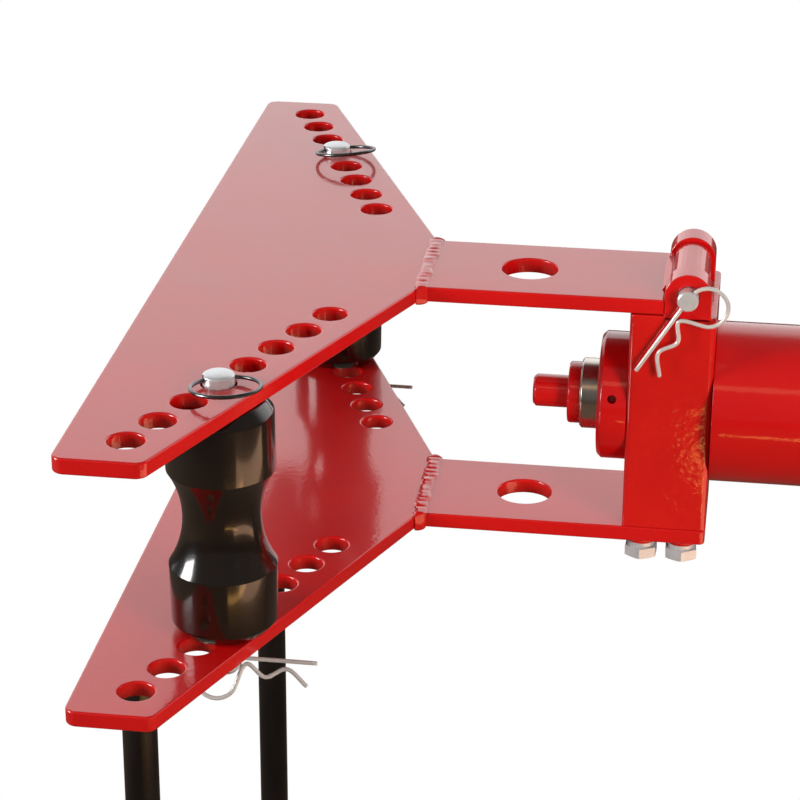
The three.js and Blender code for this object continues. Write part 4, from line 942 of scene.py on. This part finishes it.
def dress(node, material, width):
    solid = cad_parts[node]
    solid.data.materials.clear()
    solid.data.materials.append(material)
    smooth(solid.data, SOLID)
    if width:
        merge = solid.modifiers.new("flats", "DECIMATE")
        merge.decimate_type = "DISSOLVE"
        merge.angle_limit = FLAT
        soften = solid.modifiers.new("edges", "BEVEL")
        soften.limit_method = "ANGLE"
        soften.angle_limit = math.radians(SOLID)
        soften.width = width / 1000
        soften.segments = 3
        flatten(solid)


# Floor, world and lights
FLOOR_SIZE, FLOOR_BROWN, FLOOR_MIRRORED = 14, (0.10, 0.065, 0.042, 1), 0.025
WHITE = (1, 1, 1, 1)
SKY_DIM, SKY_BRIGHT = 0.12, 1.34
BACKDROP_FROM, BACKDROP_FULL, BACKDROP_FADE, BACKDROP_TOP = 0.15, 0.75, 0.50, 0.85


def add_floor():
    """White to the camera and faint in gloss; a brown ground to all other light."""
    shape = bmesh.new()
    bmesh.ops.create_grid(shape, x_segments=1, y_segments=1, size=FLOOR_SIZE)
    mesh = bpy.data.meshes.new("floor")
    shape.to_mesh(mesh)
    shape.free()
    floor = bpy.data.objects.new("floor", mesh)
    scene.collection.objects.link(floor)
    material = bpy.data.materials.new("pale_floor")
    material.use_nodes = True
    tree = material.node_tree
    tree.nodes.clear()
    rays = add_node(tree, "LightPath").outputs
    share = add_node(tree, "Math", {1: FLOOR_MIRRORED}, {0: rays["Is Glossy Ray"], 2: rays["Is Camera Ray"]},
                     operation="MULTIPLY_ADD")
    paint = add_node(tree, "BsdfDiffuse", {0: FLOOR_BROWN})
    glow = add_node(tree, "Emission", {0: WHITE})
    mix = add_node(tree, "MixShader", links={0: share.outputs[0], 1: paint.outputs[0], 2: glow.outputs[0]})
    add_node(tree, "OutputMaterial", links={0: mix.outputs[0]})
    mesh.materials.append(material)


def add_world():
    """A dim studio with a bright backdrop low behind the bender; white to the camera."""
    world = bpy.data.worlds.new("studio")
    scene.world = world
    world.use_nodes = True
    tree = world.node_tree
    tree.nodes.clear()
    rays = add_node(tree, "LightPath").outputs
    way = add_node(tree, "TexCoord").outputs["Generated"]
    axes = add_node(tree, "SeparateXYZ", links={0: way}).outputs
    behind = map_range(tree, axes["Y"], BACKDROP_FROM, BACKDROP_FULL, 0.0, 1.0, "SMOOTHSTEP")
    under = map_range(tree, axes["Z"], BACKDROP_FADE, BACKDROP_TOP, 1.0, 0.0, "SMOOTHSTEP")
    backdrop = add_node(tree, "Math", links={0: behind, 1: under}, operation="MULTIPLY").outputs[0]
    strength = map_range(tree, backdrop, 0.0, 1.0, SKY_DIM, SKY_BRIGHT, "SMOOTHSTEP")
    seen = add_node(tree, "Mix", {3: 1.0}, {0: rays["Is Camera Ray"], 2: strength}, data_type="FLOAT")
    background = add_node(tree, "Background", {"Color": WHITE}, {"Strength": seen.outputs[0]})
    add_node(tree, "OutputWorld", links={0: background.outputs[0]})


LAMPS_FACE = (200, 0, 0)
# Name, offset from the place that they face and size in metres, watts, colour, mirrored in gloss or not
LAMPS = (
    ("left_key", (-2.15, -0.85, 0.56), (0.9, 0.9), 50, (1, 1, 1), True),
    ("right_key", (1.75, -1.9, 0.48), (0.7, 0.9), 45, (1.0, 0.97, 0.95), False),
    ("fill", (-0.1, -1.8, 1.6), (1.4, 0.3), 1.4, (1.0, 0.62, 0.35), True),
    ("tank_fill", (0.55, -0.5, 0.45), (0.4, 0.3), 1.1, (1.0, 0.7, 0.5), False),
    ("warm_bounce", (0.85, -0.42, -0.5), (1.25, 0.25), 2.4, (1.0, 0.58, 0.35), True),
    ("low_line", (0.42, -0.884, -0.467), (0.6, 0.035), 0.32, (1.0, 0.52, 0.14), True))


def softbox(name, offset, size, power, colour, mirrored):
    """A rectangular lamp that faces a place on the ram's axis."""
    lamp = bpy.data.lights.new(name, "AREA")
    lamp.shape = "RECTANGLE"
    lamp.size, lamp.size_y = size
    lamp.energy = power
    lamp.color = colour
    holder = bpy.data.objects.new(name, lamp)
    scene.collection.objects.link(holder)
    holder.location = P(*LAMPS_FACE) + Vector(offset)
    holder.rotation_euler = (-Vector(offset)).to_track_quat("-Z", "Y").to_euler()
    holder.visible_camera = False
    holder.visible_glossy = mirrored


add_camera()
wing("lower_wing", "frame", -OUTER)
wing("upper_wing", "top_frame", INNER)
necks()
weld("upper_weld_bead", "top_frame", (INNER + OUTER) / 2, "upper_neck_weld", half_width=4.4, height=1.4)
weld("lower_weld_bead", "frame", -(INNER + OUTER) / 2, "lower_neck_weld", half_width=4.8, height=1.8)
roller_station("near", *NEAR_RING)
roller_station("far", *FAR_RING)
head_block()
hinge_pin()
bolts()
gland()
ram()
return_spring()
tank()
pump()
handle()
for which in ("near", "far", "rear"):
    leg(which)
for node, material, width in DRESSED:
    dress(node, material, width)

add_floor()
add_world()
for lamp in LAMPS:
    softbox(*lamp)
